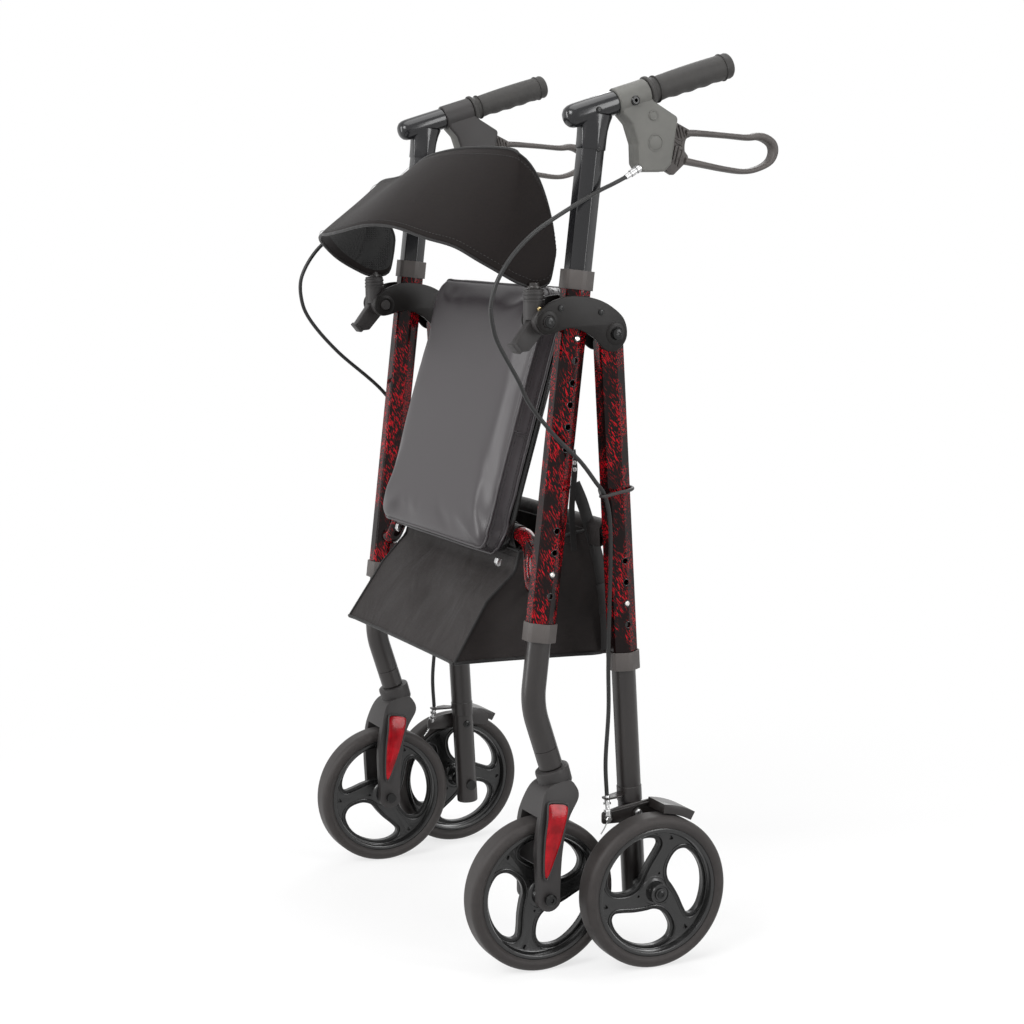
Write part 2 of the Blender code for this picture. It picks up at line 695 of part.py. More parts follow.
def build_rear_frame(fold_axis):
    for side_name, side in SIDES.items():
        place = (side * HALF_SPACING, 0.0, 0.0)
        tube = add_piece(f"rear_tube_{side_name}", hex_tube(-REAR_TUBE_BELOW, REAR_TUBE_ABOVE),
                         "red_streak_lacquer", fold_axis, place, side)
        heights = [-REAR_BUTTON + k * HOLE_PITCH for k in LEG_HOLES]
        cut(tube, adjusting_holes(heights), side)
        cut(tube, side_cylinder(BOLT_RADIUS + CLEARANCE, -0.03, 0.03, 0.0, 12), side)
        low = collar(-REAR_TUBE_BELOW, -1, leg_lip)
        add_piece(f"rear_collar_{side_name}", low, "grey_plastic", fold_axis, place, side)
    drop = (PIVOT_Z - CROSSBAR_Z) / math.cos(REAR_LEAN)
    end = HALF_SPACING - TUBE_VERTEX + CROSSBAR_RADIUS
    shape = side_cylinder(CROSSBAR_RADIUS, -end, end, 0.0, 16)
    bar = add_piece("rear_crossbar", shape, "black_gloss", fold_axis, (0.0, 0.0, -drop))
    for side in SIDES.values():
        to_line = Matrix.Translation((side * HALF_SPACING, 0.0, 0.0))
        cut(bar, moved(cope(-0.05, 0.05), to_line))


def build_rear_leg(side_name, side, fold_axis):
    place = (side * HALF_SPACING, 0.0, 0.0)
    shape = chain([round_section(LEG_RADIUS, -REAR_LEG_BOTTOM), round_section(LEG_RADIUS, -REAR_LEG_TOP)])
    leg = add_piece(f"rear_leg_{side_name}", shape, "black_satin", fold_axis, place, side)
    stop = chain(
        [
            [(-0.0020, -0.0133, z), (0.0080, -0.0108, z), (0.0185, -0.0200, z),
             (0.0185, -0.0410, z), (0.0075, -0.0410, z)]
            for z in (-STOP_DROP - 0.0025, -STOP_DROP)
        ]
    )
    unite(leg, stop, side)
    bore = chain(
        [round_section(LEG_BORE_RADIUS, -REAR_LEG_BOTTOM - 0.01), round_section(LEG_BORE_RADIUS, 0.0)]
    )
    cut(leg, bore, side)
    cut(leg, side_cylinder(BUTTON_RADIUS + CLEARANCE, 0.008, 0.02, -REAR_BUTTON, 10), side)
    axle_drop = (PIVOT_Z - WHEEL_RADIUS) / math.cos(REAR_LEAN)
    cut(leg, side_cylinder(REAR_AXLE_RADIUS + CLEARANCE, -0.03, 0.03, -axle_drop, 12), side)
    hub_in = REAR_WHEEL_OFFSET - FORK_INNER + HUB_GAP - CLEARANCE
    hub_out = REAR_WHEEL_OFFSET + FORK_INNER - HUB_GAP + CLEARANCE
    axle = turned_x(
        [
            (-LEG_RADIUS - 0.0035, 0.0070), (-LEG_RADIUS - CLEARANCE, 0.0070),
            (-LEG_RADIUS - CLEARANCE, REAR_AXLE_RADIUS), (LEG_RADIUS + CLEARANCE, REAR_AXLE_RADIUS),
            (LEG_RADIUS + CLEARANCE, 0.0085), (hub_in, 0.0085), (hub_in, REAR_AXLE_RADIUS),
            (hub_out, REAR_AXLE_RADIUS), (hub_out, 0.0075), (hub_out + 0.003, 0.0070),
        ],
        14,
    )
    add_piece(f"rear_axle_{side_name}", axle, "zinc", fold_axis,
              (side * HALF_SPACING, 0.0, -axle_drop), side)


BRAKE_ARM_OUTLINE = (
    (-0.0465, -0.0095), (-0.0180, -0.0105), (0.0200, -0.0070), (0.0460, -0.0115), (0.0460, 0.0030),
    (0.0300, 0.0140), (0.0170, 0.0145), (-0.0250, 0.0095), (-0.0465, 0.0045),
)


def build_brake_arm(side_name, side, origin):
    pivot_y, pivot_z = on_rear_line(BRAKE_PIVOT_DROP)
    place = (side * HALF_SPACING, pivot_y, pivot_z)
    axis = axis_empty(f"brake_arm_axis_{side_name}", place, 0.0, origin)
    inner = LEG_RADIUS + SLIDE_GAP
    arm = add_piece(f"brake_arm_{side_name}", prism(BRAKE_ARM_OUTLINE, inner, inner + BRAKE_PLATE),
                    "black_gloss", axis, side=side)
    axle_y, axle_z = rear_axle_place()
    y, z = axle_y - pivot_y, axle_z - pivot_z
    near = WHEEL_RADIUS + SHOE_GAP
    shoe = [*arc(y, z, near, 80, 62, 4), *arc(y, z, near + BRAKE_PLATE, 62, 80, 4)]
    unite(arm, prism(shoe, inner + 0.001, REAR_WHEEL_OFFSET + 0.009), side)
    pin = side_cylinder(0.0058, inner + BRAKE_PLATE - 0.001, inner + BRAKE_PLATE + 0.002, 0.0, 12)
    unite(arm, pin, side)


PLATE_OUTLINE = (
    (-0.0135, 0.7640), (-0.0115, 0.7735), (-0.0035, 0.7822), (0.0060, 0.7880), (0.0215, 0.7927),
    (0.0370, 0.7938), (0.0530, 0.7920), (0.0690, 0.7875), (0.0830, 0.7800), (0.0955, 0.7695),
    (0.1010, 0.7580), (0.1015, 0.7460), (0.0970, 0.7370), (0.0890, 0.7305), (0.0800, 0.7290),
    (0.0720, 0.7325), (0.0640, 0.7410), (0.0540, 0.7490), (0.0420, 0.7545), (0.0300, 0.7570),
    (0.0180, 0.7550), (0.0090, 0.7520), (-0.0010, 0.7505), (-0.0090, 0.7540),
)


def build_hinge_plates(side_name, side, origin):
    place = (side * HALF_SPACING, PIVOT_Y, PIVOT_Z)
    axis = axis_empty(f"hinge_plates_{side_name}", place, 0.0, origin)
    outline = about(PLATE_OUTLINE, PIVOT_Y, PIVOT_Z)
    near = TUBE_VERTEX + PLATE_GAP
    far = near + PLATE_THICKNESS
    band_y, band_z = BAND_PIVOT_Y - PIVOT_Y, BAND_PIVOT_Z - PIVOT_Z
    hole = BOLT_RADIUS + CLEARANCE
    for place_name, low, high in (("outer", near, far), ("inner", -far, -near)):
        plate = add_piece(f"hinge_plate_{place_name}_{side_name}", prism(outline, low, high),
                          "grey_plastic", axis, side=side)
        holes = [prism(circle(0, 0, hole, 12), low - 0.01, high + 0.01),
                 prism(circle(band_y, band_z, hole, 12), low - 0.01, high + 0.01)]
        cut(plate, merged(holes), side)
        if place_name == "inner":
            posts = [prism(circle(y - PIVOT_Y, z - PIVOT_Z, SPACER_RADIUS, 10), -near - 0.001, near - CLEARANCE)
                     for y, z in SPACERS]
            unite(plate, merged(posts), side)
    head = far + CLEARANCE
    profile = [
        (-head - BOLT_HEAD_HEIGHT, BOLT_HEAD_RADIUS - 0.001), (-head, BOLT_HEAD_RADIUS),
        (-head, BOLT_RADIUS), (head, BOLT_RADIUS), (head, BOLT_HEAD_RADIUS),
        (head + BOLT_HEAD_HEIGHT, BOLT_HEAD_RADIUS - 0.001),
    ]
    add_piece(f"fold_bolt_{side_name}", turned_x(profile, 12), "black_satin", axis, side=side)


def build_arch(origin):
    """The front cross tube, which drops at each end to meet the front tubes."""
    end = HALF_SPACING - TUBE_VERTEX
    half = [
        (end + ARCH_RADIUS, 0.0066, 0.4530), (end - 0.006, 0.0066, 0.4530), (end - 0.014, 0.0080, 0.4590),
        (end - 0.021, 0.0100, 0.4700), (end - 0.028, 0.0132, 0.4835), (end - 0.038, 0.0166, 0.4945),
        (end - 0.052, 0.0190, 0.5020), (end - 0.070, SEAT_AXIS_Y, SEAT_AXIS_Z),
    ]
    path = [*half, *[(-x, y, z) for x, y, z in reversed(half)]]
    path = [(x, y - SEAT_AXIS_Y, z - SEAT_AXIS_Z) for x, y, z in path]
    arch = add_piece("front_arch", swept(path, ARCH_RADIUS, 14), "red_streak_lacquer", origin,
                     (0.0, SEAT_AXIS_Y, SEAT_AXIS_Z))
    for side in SIDES.values():
        place = (side * HALF_SPACING, FRONT_Y - SEAT_AXIS_Y, FRONT_Z - SEAT_AXIS_Z)
        to_line = Matrix.Translation(place) @ Matrix.Rotation(-FRONT_LEAN, 4, "X")
        cut(arch, moved(cope(0.0, 0.1), to_line))


def rounded_rectangle(half_width, low, high, corner, y, steps=4):
    """Points in the seat's own plane, anticlockwise seen from its front."""
    corners = (
        (half_width - corner, high - corner, 0), (-half_width + corner, high - corner, 90),
        (-half_width + corner, low + corner, 180), (half_width - corner, low + corner, 270),
    )
    points = []
    for x, z, start in corners:
        for k in range(steps + 1):
            a = math.radians(start + 90 * k / steps)
            points.append((x + corner * math.cos(a), y, z + corner * math.sin(a)))
    return points


def build_seat(seat_axis):
    half = SEAT_WIDTH / 2
    low, high = -SEAT_BELOW, SEAT_LENGTH - SEAT_BELOW
    board_back = -(ARCH_RADIUS + SLIDE_GAP + 0.0006)
    board_front = board_back - BOARD_THICKNESS
    pad_back = board_front - CLEARANCE
    soft = 0.006
    loops = [
        rounded_rectangle(half - soft, low + soft, high - soft, SEAT_CORNER, pad_back),
        rounded_rectangle(half, low, high, SEAT_CORNER, pad_back - soft),
        rounded_rectangle(half, low, high, SEAT_CORNER, pad_back - SEAT_THICKNESS + soft),
        rounded_rectangle(half - soft, low + soft, high - soft, SEAT_CORNER, pad_back - SEAT_THICKNESS),
    ]
    add_piece("seat_pad", chain(loops), "vinyl", seat_axis)
    inset = BOARD_INSET
    board_loops = [
        rounded_rectangle(half - inset, low + inset, high - inset, SEAT_CORNER - inset / 2, y)
        for y in (board_back, board_front)
    ]
    board = add_piece("seat_board", chain(board_loops), "black_plastic", seat_axis)
    for x in (-KNUCKLE_X, KNUCKLE_X):
        low_x, high_x = x - KNUCKLE_WIDTH / 2, x + KNUCKLE_WIDTH / 2
        unite(board, prism(circle(0, 0, KNUCKLE_RADIUS, 16), low_x, high_x))
    cut(board, side_cylinder(ARCH_RADIUS + SLIDE_GAP, -0.2, 0.2, 0.0, 16))


def build_band_bracket(side_name, side, band_axis):
    """Socket, pivot barrel and stop tab of the back band, with the pivot pin."""
    half = TUBE_VERTEX - 0.001
    place = (side * HALF_SPACING, 0.0, 0.0)
    bracket = add_piece(f"band_bracket_{side_name}", prism(circle(0, 0, 0.0150, 20), -half, half),
                        "grey_plastic", band_axis, place, side)
    socket_y = SOCKET_Y - BAND_PIVOT_Y
    top = SOCKET_TOP - BAND_PIVOT_Z
    to_socket = Matrix.Translation((SOCKET_X, socket_y, 0))
    unite(bracket, moved(chain([round_section(SOCKET_RADIUS, 0.002), round_section(SOCKET_RADIUS, top)]),
                         to_socket), side)
    tab = [(0.004, -0.010), (-0.0170, -0.0335), (-0.0300, -0.0345), (-0.0360, -0.0260),
           (-0.0300, -0.0180), (-0.0130, 0.0050)]
    unite(bracket, prism(tab, -0.0065, 0.0065), side)
    neck_room = chain([round_section(NECK_RADIUS + CLEARANCE, top - NECK_DEPTH - 0.001, 12),
                       round_section(NECK_RADIUS + CLEARANCE, top + 0.01, 12)])
    cut(bracket, moved(neck_room, to_socket), side)
    plate_far = TUBE_VERTEX + PLATE_GAP + PLATE_THICKNESS + CLEARANCE
    pin = turned_x(
        [
            (-plate_far - BOLT_HEAD_HEIGHT, BOLT_HEAD_RADIUS - 0.001), (-plate_far, BOLT_HEAD_RADIUS),
            (-plate_far, BOLT_RADIUS), (plate_far, BOLT_RADIUS), (plate_far, BOLT_HEAD_RADIUS),
            (plate_far + BOLT_HEAD_HEIGHT, BOLT_HEAD_RADIUS - 0.001),
        ],
        12,
    )
    unite(bracket, pin, side)


def band_station(share):
    """The band's low and high edge points at this share of the way round, as world (x, y, z)."""
    turn = math.pi * share
    x = math.cos(turn)
    low = Vector((BAND_HALF_WIDTH * x, BAND_ARM_FRONT - BAND_LOW_REACH * math.sin(turn),
                  BAND_LOW_Z + BAND_LOW_RISE * math.sin(turn)))
    high = Vector(((BAND_HALF_WIDTH - 0.003) * x, BAND_TOP_FRONT - BAND_HIGH_REACH * math.sin(turn),
                   BAND_HIGH_Z + BAND_HIGH_RISE * (1 - (1 - math.sin(turn)) ** 2)))
    inward = Vector((-x, math.sin(turn), 0.0)).normalized()
    return low, high, inward


def build_band(band_axis):
    """The padded back band and the ends of its core, which stand in the two sockets."""
    loops = []
    shift = Vector((0, BAND_PIVOT_Y, BAND_PIVOT_Z))
    stations = [band_station(k / BAND_STATIONS) for k in range(BAND_STATIONS + 1)]
    ends = []
    for low, high, inward in (stations[0], stations[-1]):
        low_back = Vector((low.x, BAND_ARM_BACK, low.z + 0.004))
        high_back = Vector((high.x, BAND_ARM_BACK - 0.007, high.z - 0.020))
        ends.append((low_back, high_back, inward))
    stations = [ends[0], *stations, ends[1]]
    for low, high, inward in stations:
        wall = inward * BAND_THICKNESS
        edge = (high - low) * BAND_EDGE_SHARE
        loops.append([p - shift for p in (low + edge, high - edge, high + wall * 0.3, high + wall * 0.7,
                                          high - edge + wall, low + edge + wall, low + wall * 0.7,
                                          low + wall * 0.3)])
    band = add_piece("back_band", chain(loops), "fabric", band_axis)
    socket_y = SOCKET_Y - BAND_PIVOT_Y
    top = SOCKET_TOP - BAND_PIVOT_Z
    for side in SIDES.values():
        to_socket = Matrix.Translation((side * (HALF_SPACING + SOCKET_X), socket_y, 0))
        neck = chain([round_section(NECK_RADIUS, top - NECK_DEPTH, 12), round_section(NECK_RADIUS, top + 0.022, 12)])
        unite(band, moved(neck, to_socket))


BAG_LEVELS = (
    # height, front y, front half width, rear y, rear half width
    (0.4890, 0.0130, 0.1680, 0.0895, 0.1980),
    (0.4640, 0.0060, 0.1700, 0.0980, 0.1980),
    (0.4300, -0.0290, 0.1660, 0.1060, 0.1960),
    (0.3590, -0.0780, 0.1660, 0.1190, 0.1900),
)
BAG_WALL = 0.003
# Two tabs carry the bag's front wall up to the front cross tube
HANGER_X = 0.1425
HANGER_WIDTH = 0.015
HANGER_OUTLINE = ((0.0130, 0.4860), (0.0155, 0.4860), (0.0155, 0.4952), (0.0130, 0.4952))


def bag_loop(level, inset):
    height, front_y, front_half, rear_y, rear_half = level
    front_y += inset
    rear_y -= inset
    front_half -= inset
    rear_half -= inset
    corner = 0.006
    return [
        (front_half, front_y + corner, height), (rear_half, rear_y - corner, height),
        (rear_half - corner, rear_y, height), (-rear_half + corner, rear_y, height),
        (-rear_half, rear_y - corner, height), (-front_half, front_y + corner, height),
        (-front_half + corner, front_y, height), (front_half - corner, front_y, height),
    ]


def build_bag(origin):
    outer = [bag_loop(level, 0.0) for level in reversed(BAG_LEVELS)]
    inner = [bag_loop(level, BAG_WALL) for level in BAG_LEVELS]
    inner[-1] = [(x, y, z + BAG_WALL) for x, y, z in inner[-1]]
    shape = chain([*outer, *inner])
    lowered = Matrix.Translation((0, -SEAT_AXIS_Y, -SEAT_AXIS_Z))
    bag = add_piece("bag", moved(shape, lowered), "fabric", origin, (0.0, SEAT_AXIS_Y, SEAT_AXIS_Z))
    for x in (-HANGER_X, HANGER_X):
        hanger = prism(HANGER_OUTLINE, x - HANGER_WIDTH / 2, x + HANGER_WIDTH / 2)
        unite(bag, moved(hanger, lowered))


# Routes of the brake cables from the brake housing to the stop on the rear leg, left side first
CABLE_ROUTES = {
    "left": (
        (0.2560, 0.1224, 0.9379), (0.2560, 0.1080, 0.9290), (0.2590, 0.0880, 0.9200), (0.2650, 0.0670, 0.9120), (0.2740, 0.0320, 0.8960),
        (0.2800, 0.0050, 0.8825), (0.2850, -0.0210, 0.8680), (0.2880, -0.0435, 0.8500),
        (0.2900, -0.0615, 0.8300), (0.2900, -0.0740, 0.8080), (0.2900, -0.0800, 0.7840),
        (0.2890, -0.0770, 0.7620), (0.2870, -0.0690, 0.7415), (0.2840, -0.0440, 0.7015),
        (0.2820, -0.0280, 0.6730), (0.2800, 0.0045, 0.6360), (0.2780, 0.0370, 0.6060),
        (0.2760, 0.0580, 0.5810), (0.2735, 0.0720, 0.5630), (0.2690, 0.0810, 0.5340),
        (0.2640, 0.0850, 0.4850), (0.2600, 0.0862, 0.4370), (0.2585, 0.0862, 0.3950),
        (0.2575, 0.0862, 0.3550), (0.2590, 0.0860, 0.3050), (0.2610, 0.0815, 0.2450), (0.2610, 0.0835, 0.2018),
    ),
    "right": (
        (0.2560, 0.1224, 0.9379), (0.2560, 0.1080, 0.9295), (0.2650, 0.0850, 0.9150), (0.2760, 0.0350, 0.8930), (0.2840, -0.0200, 0.8720),
        (0.2880, -0.0660, 0.8430), (0.2880, -0.0930, 0.8050), (0.2880, -0.0950, 0.7720),
        (0.2870, -0.0820, 0.7420), (0.2840, -0.0450, 0.7000), (0.2800, 0.0150, 0.6480),
        (0.2765, 0.0550, 0.5960), (0.2735, 0.0765, 0.5680), (0.2690, 0.0800, 0.5400),
        (0.2640, 0.0810, 0.5000), (0.2600, 0.0830, 0.4400), (0.2585, 0.0850, 0.3900),
        (0.2575, 0.0860, 0.3500), (0.2590, 0.0850, 0.3000), (0.2610, 0.0815, 0.2450), (0.2610, 0.0835, 0.2018),
    ),
}


def build_cable(side_name, side, origin):
    name = f"brake_cable_{side_name}"
    curve = bpy.data.curves.new(name, "CURVE")
    curve.dimensions = "3D"
    curve.bevel_depth = CABLE_DIAMETER / 2
    curve.bevel_resolution = 2
    curve.use_fill_caps = True
    points = smooth_path([(side * x, y, z) for x, y, z in CABLE_ROUTES[side_name]], CABLE_SPACING)
    start = points[0]
    spline = curve.splines.new("POLY")
    spline.points.add(len(points) - 1)
    for slot, point in zip(spline.points, points):
        slot.co = (*(point - start), 1.0)
    cable = bpy.data.objects.new(name, curve)
    bpy.context.scene.collection.objects.link(cable)
    cable.parent = origin
    cable.location = start
    curve.materials.append(material_for(name, "black_rubber"))


def build_buttons(side_name, side, front_line, fold_axis):
    add_piece(f"post_button_{side_name}", button(), "zinc", front_line, (0.0, 0.0, POST_BUTTON), side)
    add_piece(f"front_leg_button_{side_name}", button(), "zinc", front_line,
              (0.0, 0.0, FRONT_LEG_BUTTON), side)
    add_piece(f"rear_leg_button_{side_name}", button(), "zinc", fold_axis,
              (side * HALF_SPACING, 0.0, -REAR_BUTTON), side)


def main():
    clear_scene()
    origin = axis_empty("rollator", (0.0, SHIFT_Y, 0.0))
    fold_axis = axis_empty("fold_axis", (0.0, PIVOT_Y, PIVOT_Z), REAR_LEAN, origin)
    seat_axis = axis_empty("seat_axis", (0.0, SEAT_AXIS_Y, SEAT_AXIS_Z), -SEAT_LEAN, origin)
    band_axis = axis_empty("band_axis", (0.0, BAND_PIVOT_Y, BAND_PIVOT_Z), 0.0, origin)
    build_arch(origin)
    build_seat(seat_axis)
    build_band(band_axis)
    build_bag(origin)
    build_rear_frame(fold_axis)
    window_middles = {"left": (195, 6.5), "right": (247, 50)}
    for side_name, side in SIDES.items():
        front_line = axis_empty(f"front_line_{side_name}", (side * HALF_SPACING, FRONT_Y, FRONT_Z),
                                -FRONT_LEAN, origin)
        bar_line = axis_empty(f"bar_line_{side_name}", (0.0, 0.0, TEE_HEIGHT),
                              FRONT_LEAN + BAR_RISE, front_line)
        stem_line = axis_empty(f"stem_line_{side_name}", (side * HALF_SPACING, *leg_bend()),
                               STEM_LEAN, origin)
        build_front_tube(side_name, side, front_line)
        build_post(side_name, side, front_line, bar_line)
        build_brake_handle(side_name, side, origin, bar_line)
        build_front_leg(side_name, side, front_line)
        build_fork(side_name, side, stem_line)
        front_place = (side * HALF_SPACING, 0.0, WHEEL_RADIUS)
        front_middle, rear_middle = window_middles[side_name]
        build_wheel(f"front_wheel_{side_name}", front_place, origin, FRONT_AXLE_RADIUS, -1, front_middle)
        rear_place = (side * (HALF_SPACING + REAR_WHEEL_OFFSET), *rear_axle_place())
        build_wheel(f"rear_wheel_{side_name}", rear_place, origin, REAR_AXLE_RADIUS, 1, rear_middle)
        build_rear_leg(side_name, side, fold_axis)
        build_brake_arm(side_name, side, origin)
        build_hinge_plates(side_name, side, origin)
        build_band_bracket(side_name, side, band_axis)
        build_cable(side_name, side, origin)
        build_buttons(side_name, side, front_line, fold_axis)


main()
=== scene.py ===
"""Visual model of a folded rollator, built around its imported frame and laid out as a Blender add-on.

Lengths are in metres. The user stands on the +Y side, +X is the user's left, and the folded
object stands on the floor at z = 0. Places are given in the part's drawing coordinates, where
the front axle is at y = 0, and place() moves them into the frame.
"""

import math
import bmesh
import bpy
import numpy as np
from bpy.props import FloatProperty, FloatVectorProperty, IntProperty, PointerProperty
from mathutils import Matrix, Vector
from mathutils.bvhtree import BVHTree


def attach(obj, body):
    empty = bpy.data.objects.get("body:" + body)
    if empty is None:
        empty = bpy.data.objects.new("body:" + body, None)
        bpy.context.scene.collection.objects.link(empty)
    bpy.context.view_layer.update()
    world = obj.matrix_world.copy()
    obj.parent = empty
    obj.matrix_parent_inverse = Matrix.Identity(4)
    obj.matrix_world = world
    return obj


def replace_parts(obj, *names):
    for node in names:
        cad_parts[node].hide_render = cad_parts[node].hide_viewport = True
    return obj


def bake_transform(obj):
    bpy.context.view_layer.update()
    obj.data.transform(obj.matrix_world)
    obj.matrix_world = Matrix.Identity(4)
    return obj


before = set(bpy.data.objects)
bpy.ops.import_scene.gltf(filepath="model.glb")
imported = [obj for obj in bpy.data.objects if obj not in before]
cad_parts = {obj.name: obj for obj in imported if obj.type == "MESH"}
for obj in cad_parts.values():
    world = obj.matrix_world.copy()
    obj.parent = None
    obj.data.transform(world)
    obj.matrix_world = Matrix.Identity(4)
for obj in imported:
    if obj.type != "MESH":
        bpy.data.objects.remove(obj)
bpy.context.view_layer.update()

bl_info = {
    "name": "Folded rollator",
    "version": (1, 0, 0),
    "blender": (4, 5, 0),
    "location": "View3D > Sidebar > Rollator",
    "description": "Builds the visual model of a folded rollator around its packed frame",
    "category": "Object",
}

SIDES = {"left": 1, "right": -1}
SHIFT_Y = -0.07812
HALF_SPACING = 0.248
FRONT_LEAN = math.radians(6.5)
REAR_LEAN = math.radians(3.4)
STEM_LEAN = math.radians(18.0)
SEAT_LEAN = math.radians(16.2)
BAR_RISE = math.radians(17.0)
FRONT_FOOT = (0.001, 0.405)
FOLD_PIVOT = (0.0878, 0.7495)
AXLE_HEIGHT = 0.092
LEG_BEND_DROP = 0.0863
LEG_RADIUS = 0.0143
CROSSBAR_HEIGHT = 0.514
TEE_HEIGHT = 0.6031
TUBE_OUT = 0.01741
HOLE_PITCH = 0.0254
SMOOTH_ANGLE = math.radians(38)
EDGE_ANGLE = math.radians(28)
CLOTH_ANGLE = math.radians(60)


def place(x, y, z):
    return Vector((x, y + SHIFT_Y, z))


def side_middle(side, height=0.0):
    """Matrix to the middle plane of one side's tubes."""
    return Matrix.Translation(place(side * HALF_SPACING, 0, height))


def rear_tube_y(height):
    return FOLD_PIVOT[0] + (FOLD_PIVOT[1] - height) * math.tan(REAR_LEAN)


def on_circle(radius, degrees):
    turn = math.radians(degrees)
    return radius * math.cos(turn), radius * math.sin(turn)


def smoothstep(share):
    """0 below 0, 1 above 1, and a smooth rise between them."""
    share = min(max(share, 0.0), 1.0)
    return share * share * (3 - 2 * share)


def line_frame(x, foot, lean):
    """Matrix from a tube line's own coordinates, Z up the tube, to the frame."""
    return Matrix.Translation(place(x, *foot)) @ Matrix.Rotation(lean, 4, "X")


def front_line(x):
    return line_frame(x, FRONT_FOOT, -FRONT_LEAN)


def rear_line(x):
    return line_frame(x, FOLD_PIVOT, REAR_LEAN)


def bar_line(x):
    tee = Matrix.Translation((0, 0, TEE_HEIGHT)) @ Matrix.Rotation(FRONT_LEAN + BAR_RISE, 4, "X")
    return front_line(x) @ tee


# Sizes and colours that a user would change


def colour_property(name, description, default):
    return FloatVectorProperty(name=name, description=description, subtype="COLOR", size=3, min=0, max=1,
                               default=default)


def length_property(name, description, default, low, high):
    return FloatProperty(name=name, description=description, unit="LENGTH", default=default, min=low,
                         max=high)


class RollatorColours(bpy.types.PropertyGroup):
    """Colours of the finishes, as the shader takes them."""

    lacquer: colour_property("Lacquer", "Dark ground of the streaked lacquer", (0.006, 0.003, 0.003))
    streak: colour_property("Streaks", "Red streaks in the lacquer", (0.39, 0.002, 0.008))
    gloss_black: colour_property("Gloss black", "Posts and the rear cross tube", (0.007, 0.007, 0.008))
    satin_black: colour_property("Satin black", "Lower legs and brake arms", (0.015, 0.0125, 0.012))
    plastic: colour_property("Moulded plastic", "Forks and the band's brackets", (0.02, 0.018, 0.0178))
    housing: colour_property("Housing plastic", "The brake housings' paler plastic", (0.105, 0.104, 0.096))
    collar: colour_property("Collar plastic", "Collars on the tubes' ends", (0.06, 0.053, 0.05))
    wheel_plastic: colour_property("Wheel plastic", "Rims and the seat's board", (0.0095, 0.0095, 0.0095))
    rubber: colour_property("Rubber", "Grips", (0.03, 0.0285, 0.027))
    tyre: colour_property("Tyre", "The tyres' grey-black rubber", (0.024, 0.0205, 0.0195))
    vinyl: colour_property("Vinyl", "The seat's cover", (0.0185, 0.0145, 0.0168))
    nylon: colour_property("Nylon", "The bag's cloth", (0.0086, 0.006, 0.0056))
    knit: colour_property("Knit", "The back band's cover", (0.0066, 0.0046, 0.0043))
    reflector: colour_property("Reflector", "Red lenses on the forks", (0.3, 0.004, 0.009))


class RollatorSizes(bpy.types.PropertyGroup):
    """Sizes of the details that repeat."""

    edge: length_property("Moulded edge", "Radius on the edges of moulded pieces", 0.0008, 0.0001, 0.003)
    stitch: length_property("Stitch", "Length of one stitch", 0.0032, 0.001, 0.01)
    stitch_gap: length_property("Stitch gap", "Distance from one stitch to the next", 0.0046, 0.001, 0.02)
    piping: length_property("Piping", "Radius of the seams' piping", 0.0019, 0.0005, 0.005)
    hole_rim: length_property("Hole rim", "Radius of the rim round an adjusting hole", 0.0038, 0.002, 0.006)
    grip_ribs: IntProperty(name="Grip ribs", description="Number of finger ribs under each grip", default=4,
                           min=0, max=8)


def on_both_sides(*makers):
    """Calls each function for the left and then for the right side."""
    for side_name, side in SIDES.items():
        for make in makers:
            make(side_name, side)
    return {"FINISHED"}


def colours():
    return bpy.context.scene.rollator_colours


def sizes():
    return bpy.context.scene.rollator_sizes


# Materials


def shader_material(name, colour, roughness, metallic=0.0, specular=0.5, coat=0.0, coat_roughness=0.04,
                    sheen=0.0):
    """(material, its tree, its shader) with the constant values set on the shader's own sockets."""
    material = bpy.data.materials.new(name)
    material.use_nodes = True
    tree = material.node_tree
    shader = tree.nodes["Principled BSDF"]
    values = {"Base Color": (*colour, 1.0), "Roughness": roughness, "Metallic": metallic,
              "Specular IOR Level": specular, "Coat Weight": coat, "Coat Roughness": coat_roughness,
              "Sheen Weight": sheen}
    for socket, value in values.items():
        shader.inputs[socket].default_value = value
    return material, tree, shader


def node(tree, kind, settings=(), **inputs):
    """Adds a node. Inputs are values or other nodes' output sockets, under the sockets' names."""
    made = tree.nodes.new(kind)
    for key, value in dict(settings).items():
        setattr(made, key, value)
    for key, value in inputs.items():
        socket = made.inputs[int(key[1:])] if key[1:].isdigit() else made.inputs[key.replace("_", " ")]
        if isinstance(value, bpy.types.NodeSocket):
            tree.links.new(value, socket)
        else:
            socket.default_value = value
    return made


def object_place(tree, scale=(1, 1, 1), rotation=(0, 0, 0), location=(0, 0, 0), kind="POINT"):
    """The object's own coordinates, moved, turned and scaled.

    Kind TEXTURE turns them before it divides by the scale.
    """
    coordinates = tree.nodes.new("ShaderNodeTexCoord")
    mapping = node(tree, "ShaderNodeMapping", {"vector_type": kind}, Vector=coordinates.outputs["Object"],
                   Location=location, Rotation=rotation, Scale=scale)
    return mapping.outputs["Vector"]


def noise(tree, vector, scale, detail=3.0, roughness=0.5, distortion=0.0):
    made = node(tree, "ShaderNodeTexNoise", Vector=vector, Scale=scale, Detail=detail, Roughness=roughness,
                Distortion=distortion)
    return made.outputs["Fac"]


def cells(tree, scale, randomness=1.0, **settings):
    """Distance across the cells of a Voronoi pattern."""
    made = node(tree, "ShaderNodeTexVoronoi", settings, Vector=object_place(tree), Scale=scale,
                Randomness=randomness)
    return made.outputs["Distance"]


